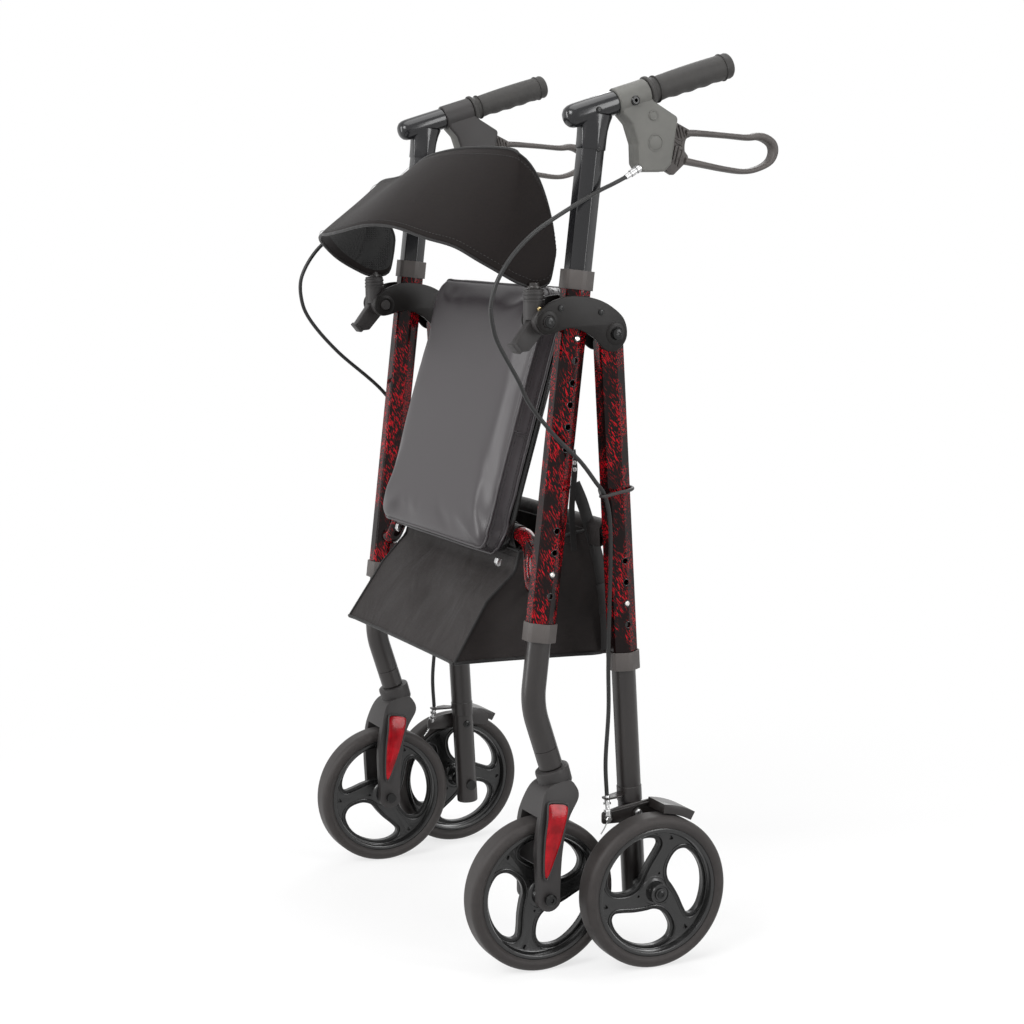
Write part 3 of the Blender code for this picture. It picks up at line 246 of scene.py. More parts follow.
def ramp_colour(tree, shader, factor, *stops):
    """Colours the shader by the factor, with (place, (r, g, b)) stops."""
    made = node(tree, "ShaderNodeValToRGB", Fac=factor)
    elements = made.color_ramp.elements
    while len(elements) < len(stops):
        elements.new(0.5)
    for element, (where, colour) in zip(elements, stops):
        element.position = where
        element.color = (*colour, 1.0)
    tree.links.new(made.outputs["Color"], shader.inputs["Base Color"])


def grey(value):
    return (value, value, value)


def maths(tree, operation, first, second=0.0, third=0.0):
    made = node(tree, "ShaderNodeMath", {"operation": operation}, _0=first, _1=second, _2=third)
    return made.outputs["Value"]


def remap(tree, value, low, high, new_low=0.0, new_high=1.0, kind="LINEAR"):
    """The value moved from one range to another, and kept inside it."""
    made = node(tree, "ShaderNodeMapRange", {"interpolation_type": kind}, Value=value, From_Min=low,
                From_Max=high, To_Min=new_low, To_Max=new_high)
    return made.outputs["Result"]


def add_bump(tree, shader, height, strength, distance):
    made = node(tree, "ShaderNodeBump", Height=height, Strength=strength, Distance=distance)
    tree.links.new(made.outputs["Normal"], shader.inputs["Normal"])


def vary_roughness(tree, shader, factor, low, high):
    tree.links.new(remap(tree, factor, 0.0, 1.0, low, high), shader.inputs["Roughness"])


def vary_colour(tree, shader, factor, colour, change=0.18):
    """Lightens and darkens the colour a little by the factor."""
    low = [c * (1 - change) for c in colour]
    high = [c * (1 + change) for c in colour]
    ramp_colour(tree, shader, factor, (0.3, low), (0.7, high))


def streaked_lacquer(name, lean, seed):
    """Near-black lacquer with short red feathers that slant along the tube, dense here and thin there."""
    ground, red = tuple(colours().lacquer), tuple(colours().streak)
    material, tree, shader = shader_material(name, ground, 0.12, specular=0.06, coat=0.16,
                                             coat_roughness=0.02)
    strokes = None
    for scale, slope, low in ((1000.0, 20, 0.625), (1300.0, 31, 0.63)):
        slant = object_place(tree, (1, 1, 9), (math.radians(slope) - lean, math.radians(-18), 0),
                             (seed + scale / 100, 0, 0), "TEXTURE")
        dash = remap(tree, noise(tree, slant, scale, 0.0, 0.5, 0.05), low, low + 0.07)
        strokes = dash if strokes is None else maths(tree, "MAXIMUM", strokes, dash)
    patches = noise(tree, object_place(tree, (1, 1, 0.6), (0, 0, 0), (seed, 0, 0)), 34.0, 3.0, 0.6, 0.4)
    amount = maths(tree, "MULTIPLY", strokes, remap(tree, patches, 0.38, 0.62, 0.15))
    middle = [a * 0.75 + b * 0.25 for a, b in zip(ground, red)]
    ramp_colour(tree, shader, amount, (0.2, ground), (0.42, middle), (0.58, red))
    return material


def gloss_black():
    material, tree, shader = shader_material("gloss_black", tuple(colours().gloss_black), 0.22, specular=0.34,
                                             coat=0.22, coat_roughness=0.08)
    fine = noise(tree, object_place(tree), 260.0, 2.0)
    add_bump(tree, shader, fine, 0.04, 0.0004)
    vary_roughness(tree, shader, noise(tree, object_place(tree), 40.0, 4.0), 0.18, 0.27)
    return material


def satin_black():
    base = tuple(colours().satin_black)
    material, tree, shader = shader_material("satin_black", base, 0.34, specular=0.45)
    fine = noise(tree, object_place(tree), 700.0, 3.0)
    add_bump(tree, shader, fine, 0.12, 0.0004)
    wear = noise(tree, object_place(tree, (1, 1, 0.3)), 60.0, 5.0)
    vary_roughness(tree, shader, wear, 0.29, 0.42)
    vary_colour(tree, shader, wear, base)
    return material


def moulded_plastic(name, base, low, high, grain=1500.0, specular=0.38):
    """Matte plastic with a fine spark-eroded grain and slightly polished patches."""
    material, tree, shader = shader_material(name, base, high, specular=specular)
    fine = noise(tree, object_place(tree), grain, 2.0, 0.6)
    broad = noise(tree, object_place(tree), 45.0, 4.0)
    add_bump(tree, shader, fine, 0.22, 0.0004)
    vary_roughness(tree, shader, broad, low, high)
    vary_colour(tree, shader, broad, base, 0.12)
    return material


def soft_rubber(name, base, low, high):
    material, tree, shader = shader_material(name, base, high, specular=0.32, sheen=0.04)
    fine = noise(tree, object_place(tree), 900.0, 3.0, 0.65)
    scuffs = noise(tree, object_place(tree, (0.5, 1, 1)), 85.0, 6.0, 0.7)
    add_bump(tree, shader, fine, 0.18, 0.0005)
    vary_roughness(tree, shader, scuffs, low, high)
    vary_colour(tree, shader, scuffs, base, 0.2)
    return material


def vinyl_cover():
    """Smooth upholstery vinyl with a shallow pebble grain."""
    base = tuple(colours().vinyl)
    material, tree, shader = shader_material("vinyl", base, 0.4, specular=0.5)
    pores = maths(tree, "MINIMUM", cells(tree, 900.0, feature="DISTANCE_TO_EDGE"), 0.22)
    add_bump(tree, shader, pores, 0.1, 0.0005)
    broad = noise(tree, object_place(tree), 14.0, 4.0)
    vary_roughness(tree, shader, broad, 0.36, 0.45)
    vary_colour(tree, shader, broad, base, 0.1)
    return material


def woven_nylon(name, base, roughness=0.62, scale=7000.0, specular=0.22, fold=26.0):
    """Plain-weave cloth: two sets of threads that cross over each other."""
    material, tree, shader = shader_material(name, base, roughness, specular=specular, sheen=0.06)
    spot = node(tree, "ShaderNodeSeparateXYZ", Vector=object_place(tree, (scale, scale, scale)))
    across = maths(tree, "SINE", maths(tree, "ADD", spot.outputs["X"], spot.outputs["Y"]))
    up = maths(tree, "SINE", spot.outputs["Z"])
    weave = maths(tree, "MULTIPLY", across, up)
    slub = noise(tree, object_place(tree, (1, 1, 4)), 120.0, 4.0, 0.6)
    height = maths(tree, "ADD", maths(tree, "MULTIPLY", weave, 0.2), slub)
    folds = noise(tree, object_place(tree, (1, 1, 0.6), (0.4, 0.3, 0.2)), 17.0, 2.5, 0.55, 0.7)
    height = maths(tree, "ADD", height, maths(tree, "MULTIPLY", folds, fold))
    add_bump(tree, shader, height, 0.55, 0.0003)
    vary_roughness(tree, shader, slub, roughness - 0.06, roughness + 0.08)
    vary_colour(tree, shader, slub, base, 0.22)
    return material


def mesh_lining():
    """Spacer mesh: rows of round eyelets in a soft knit, each eyelet darkened by painted shade."""
    material, tree, shader = shader_material("mesh_lining", (0.016, 0.0155, 0.0155), 0.85, specular=0.25,
                                             sheen=0.08)
    holes = remap(tree, cells(tree, 380.0, 0.15, feature="F1"), 0.25, 0.45)
    # Painted shade: the eyelets are coloured near black, as if shaded inside, as well as bumped
    ramp_colour(tree, shader, holes, (0.1, grey(0.0025)), (0.8, grey(0.021)))
    add_bump(tree, shader, holes, 0.7, 0.001)
    return material


def metal(name, base, low, high):
    material, tree, shader = shader_material(name, base, low, metallic=1.0)
    fine = noise(tree, object_place(tree, (1, 1, 0.2)), 500.0, 4.0)
    add_bump(tree, shader, fine, 0.08, 0.0003)
    vary_roughness(tree, shader, fine, low, high)
    return material


def reflector_lens():
    """Red lens over a grid of small prisms."""
    base = tuple(colours().reflector)
    material, tree, shader = shader_material("reflector_lens", base, 0.16, specular=0.12, coat=0.12,
                                             coat_roughness=0.03)
    add_bump(tree, shader, cells(tree, 420.0, 0.0, feature="F1", distance="CHEBYCHEV"), 0.3, 0.0004)
    low, high = [c * 0.6 for c in base], [min(c * 1.15, 1.0) for c in base]
    ramp_colour(tree, shader, noise(tree, object_place(tree), 60.0, 2.0), (0.35, low), (0.65, high))
    return material


FINISH = {}


def make_materials():
    """Fills FINISH with the materials, under the names that the pieces use."""
    tints = colours()

    def plastic(name, base, low, high, *more):
        return moulded_plastic(name, tuple(base), low, high, *more)

    FINISH.update({
        "front_lacquer": streaked_lacquer("front_lacquer", FRONT_LEAN, 0.0),
        "rear_lacquer": streaked_lacquer("rear_lacquer", -REAR_LEAN, 3.7),
        "gloss_black": gloss_black(),
        "satin_black": satin_black(),
        "plastic": plastic("moulded_plastic", tints.plastic, 0.46, 0.6),
        "housing": plastic("housing_plastic", tints.housing, 0.5, 0.64),
        "collar": plastic("collar_plastic", tints.collar, 0.46, 0.6),
        "plate": plastic("plate_plastic", (0.0084, 0.0074, 0.007), 0.3, 0.42, 1300.0, 0.16),
        "wheel_plastic": plastic("wheel_plastic", tints.wheel_plastic, 0.2, 0.3, 1100.0, 0.5),
        "bolt_black": plastic("bolt_black", grey(0.006), 0.2, 0.3, 900.0, 0.3),
        "rubber": soft_rubber("grip_rubber", tuple(tints.rubber), 0.52, 0.7),
        "cable": soft_rubber("cable_sheath", grey(0.01), 0.34, 0.48),
        "tyre": soft_rubber("tyre_rubber", tuple(tints.tyre), 0.5, 0.66),
        "vinyl": vinyl_cover(),
        "nylon": woven_nylon("nylon", tuple(tints.nylon)),
        "binding": woven_nylon("binding_tape", (0.01, 0.0095, 0.0095), 0.55, 2000.0),
        "knit": woven_nylon("knit_cover", tuple(tints.knit), 0.8, 6000.0, 0.16, 5.0),
        "thread": woven_nylon("thread", (0.016, 0.0155, 0.0155), 0.6, 5000.0),
        "lining": mesh_lining(),
        "zinc": metal("zinc", (0.62, 0.61, 0.58), 0.22, 0.38),
        "brass": metal("brass", (0.62, 0.48, 0.24), 0.2, 0.34),
        "steel": metal("spring_steel", (0.5, 0.5, 0.5), 0.25, 0.4),
        "lens": reflector_lens(),
    })


# Meshes


def mesh_of(name, shape):
    """The bmesh as a mesh. It frees the bmesh."""
    mesh = bpy.data.meshes.new(name)
    shape.to_mesh(mesh)
    shape.free()
    return mesh


def new_object(name, data):
    made = bpy.data.objects.new(name, data)
    bpy.context.scene.collection.objects.link(made)
    return made


def finish_mesh(name, shape, material, body=None, smooth=SMOOTH_ANGLE):
    """Makes a piece of a bmesh in the frame's coordinates, shades it and lets it ride on a body."""
    return finish_object(name, mesh_of(name, shape), material, body, smooth)


def finish_object(name, mesh, material, body=None, smooth=SMOOTH_ANGLE):
    piece = new_object(name, mesh)
    mesh.materials.clear()
    mesh.materials.append(FINISH[material])
    mesh.shade_smooth()
    mesh.set_sharp_from_angle(angle=smooth)
    if body:
        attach(piece, body)
    return piece


def skin(loops, closed=False):
    """Skins equal loops in turn. An open chain gets end faces; a closed one meets its start."""
    shape = bmesh.new()
    rings = [[shape.verts.new(point) for point in loop] for loop in loops]
    pairs = list(zip(rings, rings[1:]))
    if closed:
        pairs.append((rings[-1], rings[0]))
    else:
        shape.faces.new(list(reversed(rings[0])))
        shape.faces.new(rings[-1])
    for first, second in pairs:
        for i in range(len(first)):
            j = (i + 1) % len(first)
            shape.faces.new((first[i], first[j], second[j], second[i]))
    bmesh.ops.recalc_face_normals(shape, faces=shape.faces)
    return shape


def moved(shape, matrix):
    bmesh.ops.transform(shape, matrix=matrix, verts=shape.verts)
    if matrix.determinant() < 0:
        bmesh.ops.reverse_faces(shape, faces=shape.faces)
    return shape


def merged(shapes):
    whole = bmesh.new()
    for shape in shapes:
        mesh = mesh_of("joined_shape", shape)
        whole.from_mesh(mesh)
        bpy.data.meshes.remove(mesh)
    return whole


AXIS_TURNS = {
    "Z": Matrix.Identity(4),
    "X": Matrix.Rotation(math.radians(90), 4, "Y"),
    "Y": Matrix.Rotation(math.radians(-90), 4, "X"),
}


def round_turns(steps):
    return [2 * math.pi * k / steps for k in range(steps)]


def turned(profile, axis="Z", steps=48, matrix=Matrix.Identity(4), closed=False):
    """(distance along the axis, radius) points turned about the axis, as a closed shape."""
    loops = [[(r * math.cos(a), r * math.sin(a), z) for a in round_turns(steps)] for z, r in profile]
    return moved(skin(loops, closed), matrix @ AXIS_TURNS[axis])


def prism(outline, low, high, matrix=Matrix.Identity(4)):
    """A side view outline, as (y, z) points, extruded along X."""
    return moved(skin([[(x, y, z) for y, z in outline] for x in (low, high)]), matrix)


def run_at(path, i):
    """From the point before to the point after, on an open path."""
    return path[min(i + 1, len(path) - 1)] - path[max(i - 1, 0)]


def ring_about(point, radius, across, up, steps):
    return [point + radius * (across * math.cos(a) + up * math.sin(a)) for a in round_turns(steps)]


def tube(path, radius, steps=16):
    """A round bar along points in space. The radius may be one value or one for each point."""
    points = [Vector(p) for p in path]
    radii = [radius] * len(points) if isinstance(radius, (int, float)) else radius
    first_run = (points[1] - points[0]).normalized()
    across = Vector((0, 1, 0)) if abs(first_run.y) < 0.9 else Vector((1, 0, 0))
    loops = []
    for i, (point, reach) in enumerate(zip(points, radii)):
        along = run_at(points, i).normalized()
        across = (across - along * across.dot(along)).normalized()
        loops.append(ring_about(point, reach, across, along.cross(across), steps))
    return skin(loops)


def ring_tube(path, radius, steps=8):
    """A round bar along a closed path."""
    points = [Vector(p) for p in path]
    count = len(points)
    loops = []
    crosses = ((points[i] - points[0]).cross(points[(i + 1) % count] - points[0]) for i in range(count))
    normal = sum(crosses, Vector()).normalized()
    for i, point in enumerate(points):
        along = (points[(i + 1) % count] - points[i - 1]).normalized()
        out = along.cross(normal).normalized()
        loops.append(ring_about(point, radius, out, out.cross(along), steps))
    return skin(loops, closed=True)


def smooth_path(knots, spacing, closed=False):
    """Evenly spaced points on a smooth curve through the given ones."""
    knots = [Vector(p) for p in knots]
    if closed:
        knots = [knots[-1], *knots, knots[0], knots[1]]
    else:
        knots = [2 * knots[0] - knots[1], *knots, 2 * knots[-1] - knots[-2]]
    fine = []
    for a, b, c, d in zip(knots, knots[1:], knots[2:], knots[3:]):
        for i in range(24):
            t = i / 24
            fine.append(0.5 * (2 * b + (c - a) * t + (2 * a - 5 * b + 4 * c - d) * t * t
                               + (3 * b - a - 3 * c + d) * t ** 3))
    fine.append(knots[-2])
    lengths = np.concatenate([[0.0], np.cumsum([(q - p).length for p, q in zip(fine, fine[1:])])])
    count = max(3, round(lengths[-1] / spacing))
    wanted = np.linspace(0, lengths[-1], count + 1)
    columns = [np.interp(wanted, lengths, [p[k] for p in fine]) for k in range(3)]
    found = [Vector(p) for p in zip(*columns)]
    return found[:-1] if closed else found


def outline_through(knots, spacing):
    """Evenly spaced (y, z) points on a smooth closed curve through the given ones."""
    return [(p.y, p.z) for p in smooth_path([(0, y, z) for y, z in knots], spacing, closed=True)]


def path_length(points):
    return sum((q - p).length for p, q in zip(points, points[1:]))


def arc(y, z, radius, start, end, steps):
    """Points round (y, z), from one angle in degrees to another."""
    turns = [math.radians(start + (end - start) * i / steps) for i in range(steps + 1)]
    return [(y + radius * math.cos(a), z + radius * math.sin(a)) for a in turns]


def rounded_outline(outline, radius, steps=4):
    """The outline with each corner rounded by up to this radius."""
    points = [Vector((y, z)) for y, z in outline]
    rounded = []
    for i, corner in enumerate(points):
        before, after = points[i - 1], points[(i + 1) % len(points)]
        back, ahead = before - corner, after - corner
        turn = back.angle(ahead, math.pi)
        reach = min(radius / max(math.tan(turn / 2), 0.05), 0.45 * back.length, 0.45 * ahead.length)
        if math.pi - turn < 0.05:
            rounded.append(tuple(corner))
            continue
        start, end = corner + back.normalized() * reach, corner + ahead.normalized() * reach
        for k in range(steps + 1):
            t = k / steps
            rounded.append(tuple(start * (1 - t) ** 2 + corner * 2 * t * (1 - t) + end * t * t))
    return rounded


def bevelled(shape, width, segments=2):
    """The shape with its sharp edges rounded."""
    bmesh.ops.remove_doubles(shape, verts=shape.verts, dist=1e-6)
    bmesh.ops.dissolve_limit(shape, angle_limit=math.radians(1.0), verts=shape.verts, edges=shape.edges)
    sharp = [e for e in shape.edges if len(e.link_faces) == 2 and e.calc_face_angle(0) > EDGE_ANGLE]
    bmesh.ops.bevel(shape, geom=sharp, offset=width, offset_type="OFFSET", segments=segments, profile=0.5,
                    affect="EDGES", clamp_overlap=True)
    return shape


def with_cut(base, cutter):
    """The first shape without the second, by an exact Boolean."""
    objects = [new_object("boolean_shape", mesh_of("boolean_shape", shape)) for shape in (base, cutter)]
    modifier = objects[0].modifiers.new("Boolean", "BOOLEAN")
    modifier.operation = "DIFFERENCE"
    modifier.solver = "EXACT"
    modifier.object = objects[1]
    result = evaluated_shape(objects[0])
    for made in objects:
        bpy.data.objects.remove(made)
    return result


def evaluated_mesh(obj):
    bpy.context.view_layer.update()
    graph = bpy.context.evaluated_depsgraph_get()
    return bpy.data.meshes.new_from_object(obj.evaluated_get(graph), depsgraph=graph)


def evaluated_shape(obj):
    mesh = evaluated_mesh(obj)
    shape = bmesh.new()
    shape.from_mesh(mesh)
    bpy.data.meshes.remove(mesh)
    return shape


def softened_copy(node_name, material, body, width=None):
    """A copy of a CAD node with its sharp edges rounded, which stands for that node."""
    shape = bmesh.new()
    shape.from_mesh(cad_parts[node_name].data)
    bevelled(shape, width or sizes().edge)
    piece = finish_mesh(f"{node_name}_finished", shape, material, body)
    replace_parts(piece, node_name)
    return piece


def set_finish(node_name, material):
    """Gives a CAD node a material, and leaves its mesh as it is."""
    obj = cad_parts[node_name]
    obj.data.materials.clear()
    obj.data.materials.append(FINISH[material])


# Geometry Nodes: things repeated at points, and stitches along a path


def repeating_tree(name, make_item, align_axis):
    """A tree that puts one item on each point of a mesh, turned to the points' stored direction."""
    tree = bpy.data.node_groups.new(name, "GeometryNodeTree")
    face = tree.interface
    for label, kind, start in (("Geometry", "Geometry", None), ("Size", "Float", 0.003),
                               ("Depth", "Float", 0.001), ("Finish", "Material", None)):
        socket = face.new_socket(label, in_out="INPUT", socket_type=f"NodeSocket{kind}")
        if start:
            socket.default_value = start
    face.new_socket("Geometry", in_out="OUTPUT", socket_type="NodeSocketGeometry")
    source = node(tree, "NodeGroupInput").outputs
    item = make_item(tree, source["Size"], source["Depth"])
    points = node(tree, "GeometryNodeMeshToPoints", Mesh=source["Geometry"])
    direction = node(tree, "GeometryNodeInputNamedAttribute", {"data_type": "FLOAT_VECTOR"}, Name="direction")
    turn = node(tree, "FunctionNodeAlignRotationToVector", {"axis": align_axis},
                Vector=direction.outputs["Attribute"])
    placed = node(tree, "GeometryNodeInstanceOnPoints", Points=points.outputs["Points"], Instance=item,
                  Rotation=turn.outputs["Rotation"])
    real = node(tree, "GeometryNodeRealizeInstances", Geometry=placed.outputs["Instances"])
    painted = node(tree, "GeometryNodeSetMaterial", Geometry=real.outputs["Geometry"],
                   Material=source["Finish"])
    node(tree, "NodeGroupOutput", Geometry=painted.outputs["Geometry"])
    return tree


def rim_item(tree, size, depth):
    """A thin ring: a small circle carried round a large one."""
    large = node(tree, "GeometryNodeCurvePrimitiveCircle", Resolution=24, Radius=size).outputs["Curve"]
    small = node(tree, "GeometryNodeCurvePrimitiveCircle", Resolution=8, Radius=depth).outputs["Curve"]
    return node(tree, "GeometryNodeCurveToMesh", Curve=large, Profile_Curve=small).outputs["Mesh"]


def raised_item(tree, geometry, height):
    lift = node(tree, "ShaderNodeCombineXYZ", Z=height).outputs["Vector"]
    return node(tree, "GeometryNodeTransform", Geometry=geometry, Translation=lift).outputs["Geometry"]


def screw_item(tree, size, depth):
    """A low domed screw head with a hexagonal socket."""
    head = node(tree, "GeometryNodeMeshCylinder", Vertices=20, Radius=size, Depth=depth)
    dome = node(tree, "GeometryNodeMeshCone", Vertices=20, Radius_Bottom=size,
                Radius_Top=maths(tree, "MULTIPLY", size, 0.72), Depth=maths(tree, "MULTIPLY", depth, 0.45))
    top = raised_item(tree, dome.outputs["Mesh"], maths(tree, "MULTIPLY", depth, 0.5))
    body = node(tree, "GeometryNodeMeshBoolean", {"operation": "UNION"}, Mesh_2=head.outputs["Mesh"])
    tree.links.new(top, body.inputs["Mesh 2"])
    socket = node(tree, "GeometryNodeMeshCylinder", Vertices=6, Radius=maths(tree, "MULTIPLY", size, 0.42),
                  Depth=depth)
    drilled = node(tree, "GeometryNodeMeshBoolean", {"operation": "DIFFERENCE"}, Mesh_1=body.outputs["Mesh"],
                   Mesh_2=raised_item(tree, socket.outputs["Mesh"], depth))
    return drilled.outputs["Mesh"]


def stitch_item(tree, size, depth):
    """One stitch: a short thread, thick in the middle, along X."""
    ball = node(tree, "GeometryNodeMeshUVSphere", Segments=8, Rings=5, Radius=1.0).outputs["Mesh"]
    shape = node(tree, "ShaderNodeCombineXYZ", X=maths(tree, "MULTIPLY", size, 0.5), Y=depth, Z=depth)
    drawn = node(tree, "GeometryNodeTransform", Geometry=ball, Scale=shape.outputs["Vector"])
    return drawn.outputs["Geometry"]


ITEMS = {"rim": (rim_item, "Z"), "screw": (screw_item, "Z"), "stitch": (stitch_item, "X")}
TREES = {}


def repeated(name, kind, spots, size, depth, material, body):
    """Items of one kind at (place, direction) spots, made by their tree and turned to a plain mesh."""
    if kind not in TREES:
        TREES[kind] = repeating_tree(f"{kind}_at_points", *ITEMS[kind])
    points = bpy.data.meshes.new(f"{name}_points")
    points.from_pydata([tuple(p) for p, _ in spots], [], [])
    stored = points.attributes.new("direction", "FLOAT_VECTOR", "POINT")
    stored.data.foreach_set("vector", np.array([tuple(d) for _, d in spots], np.float32).ravel())
    carrier = new_object(f"{name}_carrier", points)
    modifier = carrier.modifiers.new("Repeated items", "NODES")
    modifier.node_group = TREES[kind]
    values = {"Size": size, "Depth": depth, "Finish": FINISH[material]}
    for item in TREES[kind].interface.items_tree:
        if item.in_out == "INPUT" and item.name in values:
            modifier[item.identifier] = values[item.name]
    mesh = evaluated_mesh(carrier)
    bpy.data.objects.remove(carrier)
    if not mesh.polygons:
        raise RuntimeError(f"{name}: the tree made no faces")
    return finish_object(name, mesh, material, body)


def screws(name, spots, size, depth, body, material="bolt_black"):
    """Screw heads of one size at (place, direction) spots."""
    return repeated(name, "screw", spots, size, depth, material, body)


def stitches(name, path, depth, body, closed=False):
    """A row of stitches along a path."""
    return repeated(name, "stitch", stitch_spots(path, closed), sizes().stitch, depth, "thread", body)


def stitch_spots(path, closed=False):
    """Stitch middles and directions along a path."""
    gap = sizes().stitch_gap
    points = smooth_path(path, gap, closed)
    count = len(points)
    pairs = range(count if closed else count - 1)
    return [((points[i] + points[(i + 1) % count]) / 2, points[(i + 1) % count] - points[i]) for i in pairs]


# Stage, lamps and camera

CAMERA_AZIMUTH = math.radians(64.921)
CAMERA_ELEVATION = math.radians(7.841)
CAMERA_PLACE = (2.5104, -1.0933, 0.8914)
CAMERA_LENS = 77.34
SENSOR = 36.0
WORLD_LIGHT = 0.3


class ROLLATOR_OT_stage(bpy.types.Operator):
    """Sets the floor, the soft studio lamps, the white surround and the camera"""

    bl_idname = "rollator.stage"
    bl_label = "Stage, lamps and camera"

    def execute(self, context):
        scene = context.scene
        scene.view_settings.view_transform = "Standard"
        make_camera(scene)
        make_world(scene)
        make_floor()
        for lamp in LAMPS:
            make_lamp(*lamp)
        return {"FINISHED"}


def make_camera(scene):
    data = bpy.data.cameras.new("photo_camera")
    data.lens = CAMERA_LENS
    data.sensor_width = SENSOR
    data.sensor_fit = "HORIZONTAL"
    data.clip_end = 100
    camera = new_object("photo_camera", data)
    a, e = CAMERA_AZIMUTH, CAMERA_ELEVATION
    back = Vector((math.sin(a) * math.cos(e), -math.cos(a) * math.cos(e), math.sin(e)))
    right = Vector((math.cos(a), math.sin(a), 0.0))
    turn = Matrix((right, back.cross(right), back)).transposed()
    camera.matrix_world = Matrix.Translation(place(*CAMERA_PLACE)) @ turn.to_4x4()
    scene.camera = camera


def camera_share(tree):
    """1 for rays that show the surround, straight, reflected or through a lens, and 0 for its light."""
    path = tree.nodes.new("ShaderNodeLightPath")
    seen = maths(tree, "MAXIMUM", path.outputs["Is Camera Ray"], path.outputs["Is Glossy Ray"])
    return maths(tree, "MAXIMUM", seen, path.outputs["Is Transmission Ray"])


def make_world(scene):
    world = bpy.data.worlds.new("studio")
    world.use_nodes = True
    tree = world.node_tree
    shader = tree.nodes["Background"]
    shader.inputs["Color"].default_value = (1, 1, 1, 1)
    strength = remap(tree, camera_share(tree), 0.0, 1.0, WORLD_LIGHT, 1.0)
    tree.links.new(strength, shader.inputs["Strength"])
    scene.world = world


def make_floor():
    """A pale floor that shows white to the camera and keeps the shadow."""
    material, tree, shader = shader_material("floor", grey(0.86), 0.9, specular=0.1)
    light = node(tree, "ShaderNodeEmission", Strength=1.0, Color=(1, 1, 1, 1))
    reach = node(tree, "ShaderNodeVectorMath", {"operation": "LENGTH"}, _0=object_place(tree))
    fade = remap(tree, reach.outputs["Value"], 0.25, 1.3, 0.72, 1.0, "SMOOTHSTEP")
    mix = node(tree, "ShaderNodeMixShader", Fac=maths(tree, "MULTIPLY", camera_share(tree), fade),
               _1=shader.outputs["BSDF"], _2=light.outputs["Emission"])
    tree.links.new(mix.outputs["Shader"], tree.nodes["Material Output"].inputs["Surface"])
    shape = bmesh.new()
    bmesh.ops.create_grid(shape, x_segments=1, y_segments=1, size=14.0)
    floor = new_object("floor", mesh_of("floor", shape))
    floor.data.materials.append(material)


# Each lamp's name, place, target, width, height and power
LAMPS = (
    ("key_softbox", (1.6, -2.6, 2.6), (0, 0, 0.6), 1.6, 1.6, 92.0),
    ("side_softbox", (3.0, 1.7, 1.7), (0, 0, 0.5), 1.0, 2.2, 56.0),
    ("left_strip", (-0.9, -2.8, 1.1), (0, 0, 0.5), 0.5, 2.2, 42.0),
    ("back_softbox", (-2.4, 2.0, 2.4), (0, 0, 0.6), 1.6, 1.6, 36.0),
    ("top_softbox", (0.2, 0.1, 3.2), (0, 0, 0.5), 2.2, 2.2, 42.0),
)


def make_lamp(name, location, target, width, height, power):
    data = bpy.data.lights.new(name, "AREA")
    data.shape = "RECTANGLE"
    data.size = width
    data.size_y = height
    data.energy = power
    lamp = new_object(name, data)
    lamp.location = location
    lamp.rotation_euler = (Vector(target) - Vector(location)).to_track_quat("-Z", "Y").to_euler()


# Tubes, posts and legs


class ROLLATOR_OT_tubes(bpy.types.Operator):
    """Streaked tubes with rims round their adjusting holes, the arched cross tube and the rear cross tube"""

    bl_idname = "rollator.tubes"
    bl_label = "Tubes and cross tubes"

    def execute(self, context):
        for side_name, side in SIDES.items():
            set_finish(f"front_tube_{side_name}", "front_lacquer")
            set_finish(f"rear_tube_{side_name}", "rear_lacquer")
            make_hole_rims(side_name, side)
            for collar, body in (("front_collar", "frame"), ("upper_collar", "frame"),
                                 ("rear_collar", "rear_frame")):
                softened_copy(f"{collar}_{side_name}", "collar", body)
            for button in ("post_button", "front_leg_button", "rear_leg_button"):
                set_finish(f"{button}_{side_name}", "zinc")
        make_arch()
        bar_place = Matrix.Translation(place(0, 0.1018, CROSSBAR_HEIGHT))
        bar = turned([(-0.23, 0.0108), (0.23, 0.0108)], "X", 48, bar_place)
        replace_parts(finish_mesh("rear_cross_tube", bar, "gloss_black", "rear_frame"),
                    "rear_crossbar")
        return {"FINISHED"}


def make_hole_rims(side_name, side):
    """Thin rims round the adjusting holes of one side's front and rear tube."""
    x, reach = side * HALF_SPACING, side * (TUBE_OUT + 0.00005)
    front = [0.342 - k * HOLE_PITCH for k in range(6)] + [0.0693 + k * HOLE_PITCH for k in (-1, 0, 1, 2)]
    rear = [-0.3171 + k * HOLE_PITCH for k in (-1, 0, 1, 2)]
    for label, body, line, heights in (("front", "frame", front_line(x), front),
                                       ("rear", "rear_frame", rear_line(x), rear)):
        spots = [(line @ Vector((reach, 0, h)), Vector((side, 0, 0))) for h in heights]
        repeated(f"{label}_hole_rims_{side_name}", "rim", spots, sizes().hole_rim, 0.00045, "gloss_black",
                 body)


def make_arch():
    """The front cross tube, which drops at each end to the front tubes."""
    end = HALF_SPACING - TUBE_OUT
    half = [
        (end + 0.004, 0.0066, 0.453), (end - 0.006, 0.0066, 0.453), (end - 0.014, 0.008, 0.459),
        (end - 0.021, 0.01, 0.47), (end - 0.028, 0.0132, 0.4835), (end - 0.038, 0.0166, 0.4945),
        (end - 0.052, 0.019, 0.502), (end - 0.07, 0.02, 0.505), (0.08, 0.02, 0.505),
    ]
    knots = [place(*p) for p in half] + [place(-x, y, z) for x, y, z in reversed(half)]
    arch = tube(smooth_path(knots, 0.004), 0.0105, 32)
    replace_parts(finish_mesh("arched_cross_tube", arch, "front_lacquer", "frame"),
                "front_arch")


class ROLLATOR_OT_posts(bpy.types.Operator):
    """Handle posts with their tees, and the rubber grips"""

    bl_idname = "rollator.posts"
    bl_label = "Handle posts and grips"

    def execute(self, context):
        return on_both_sides(make_post, make_grip)


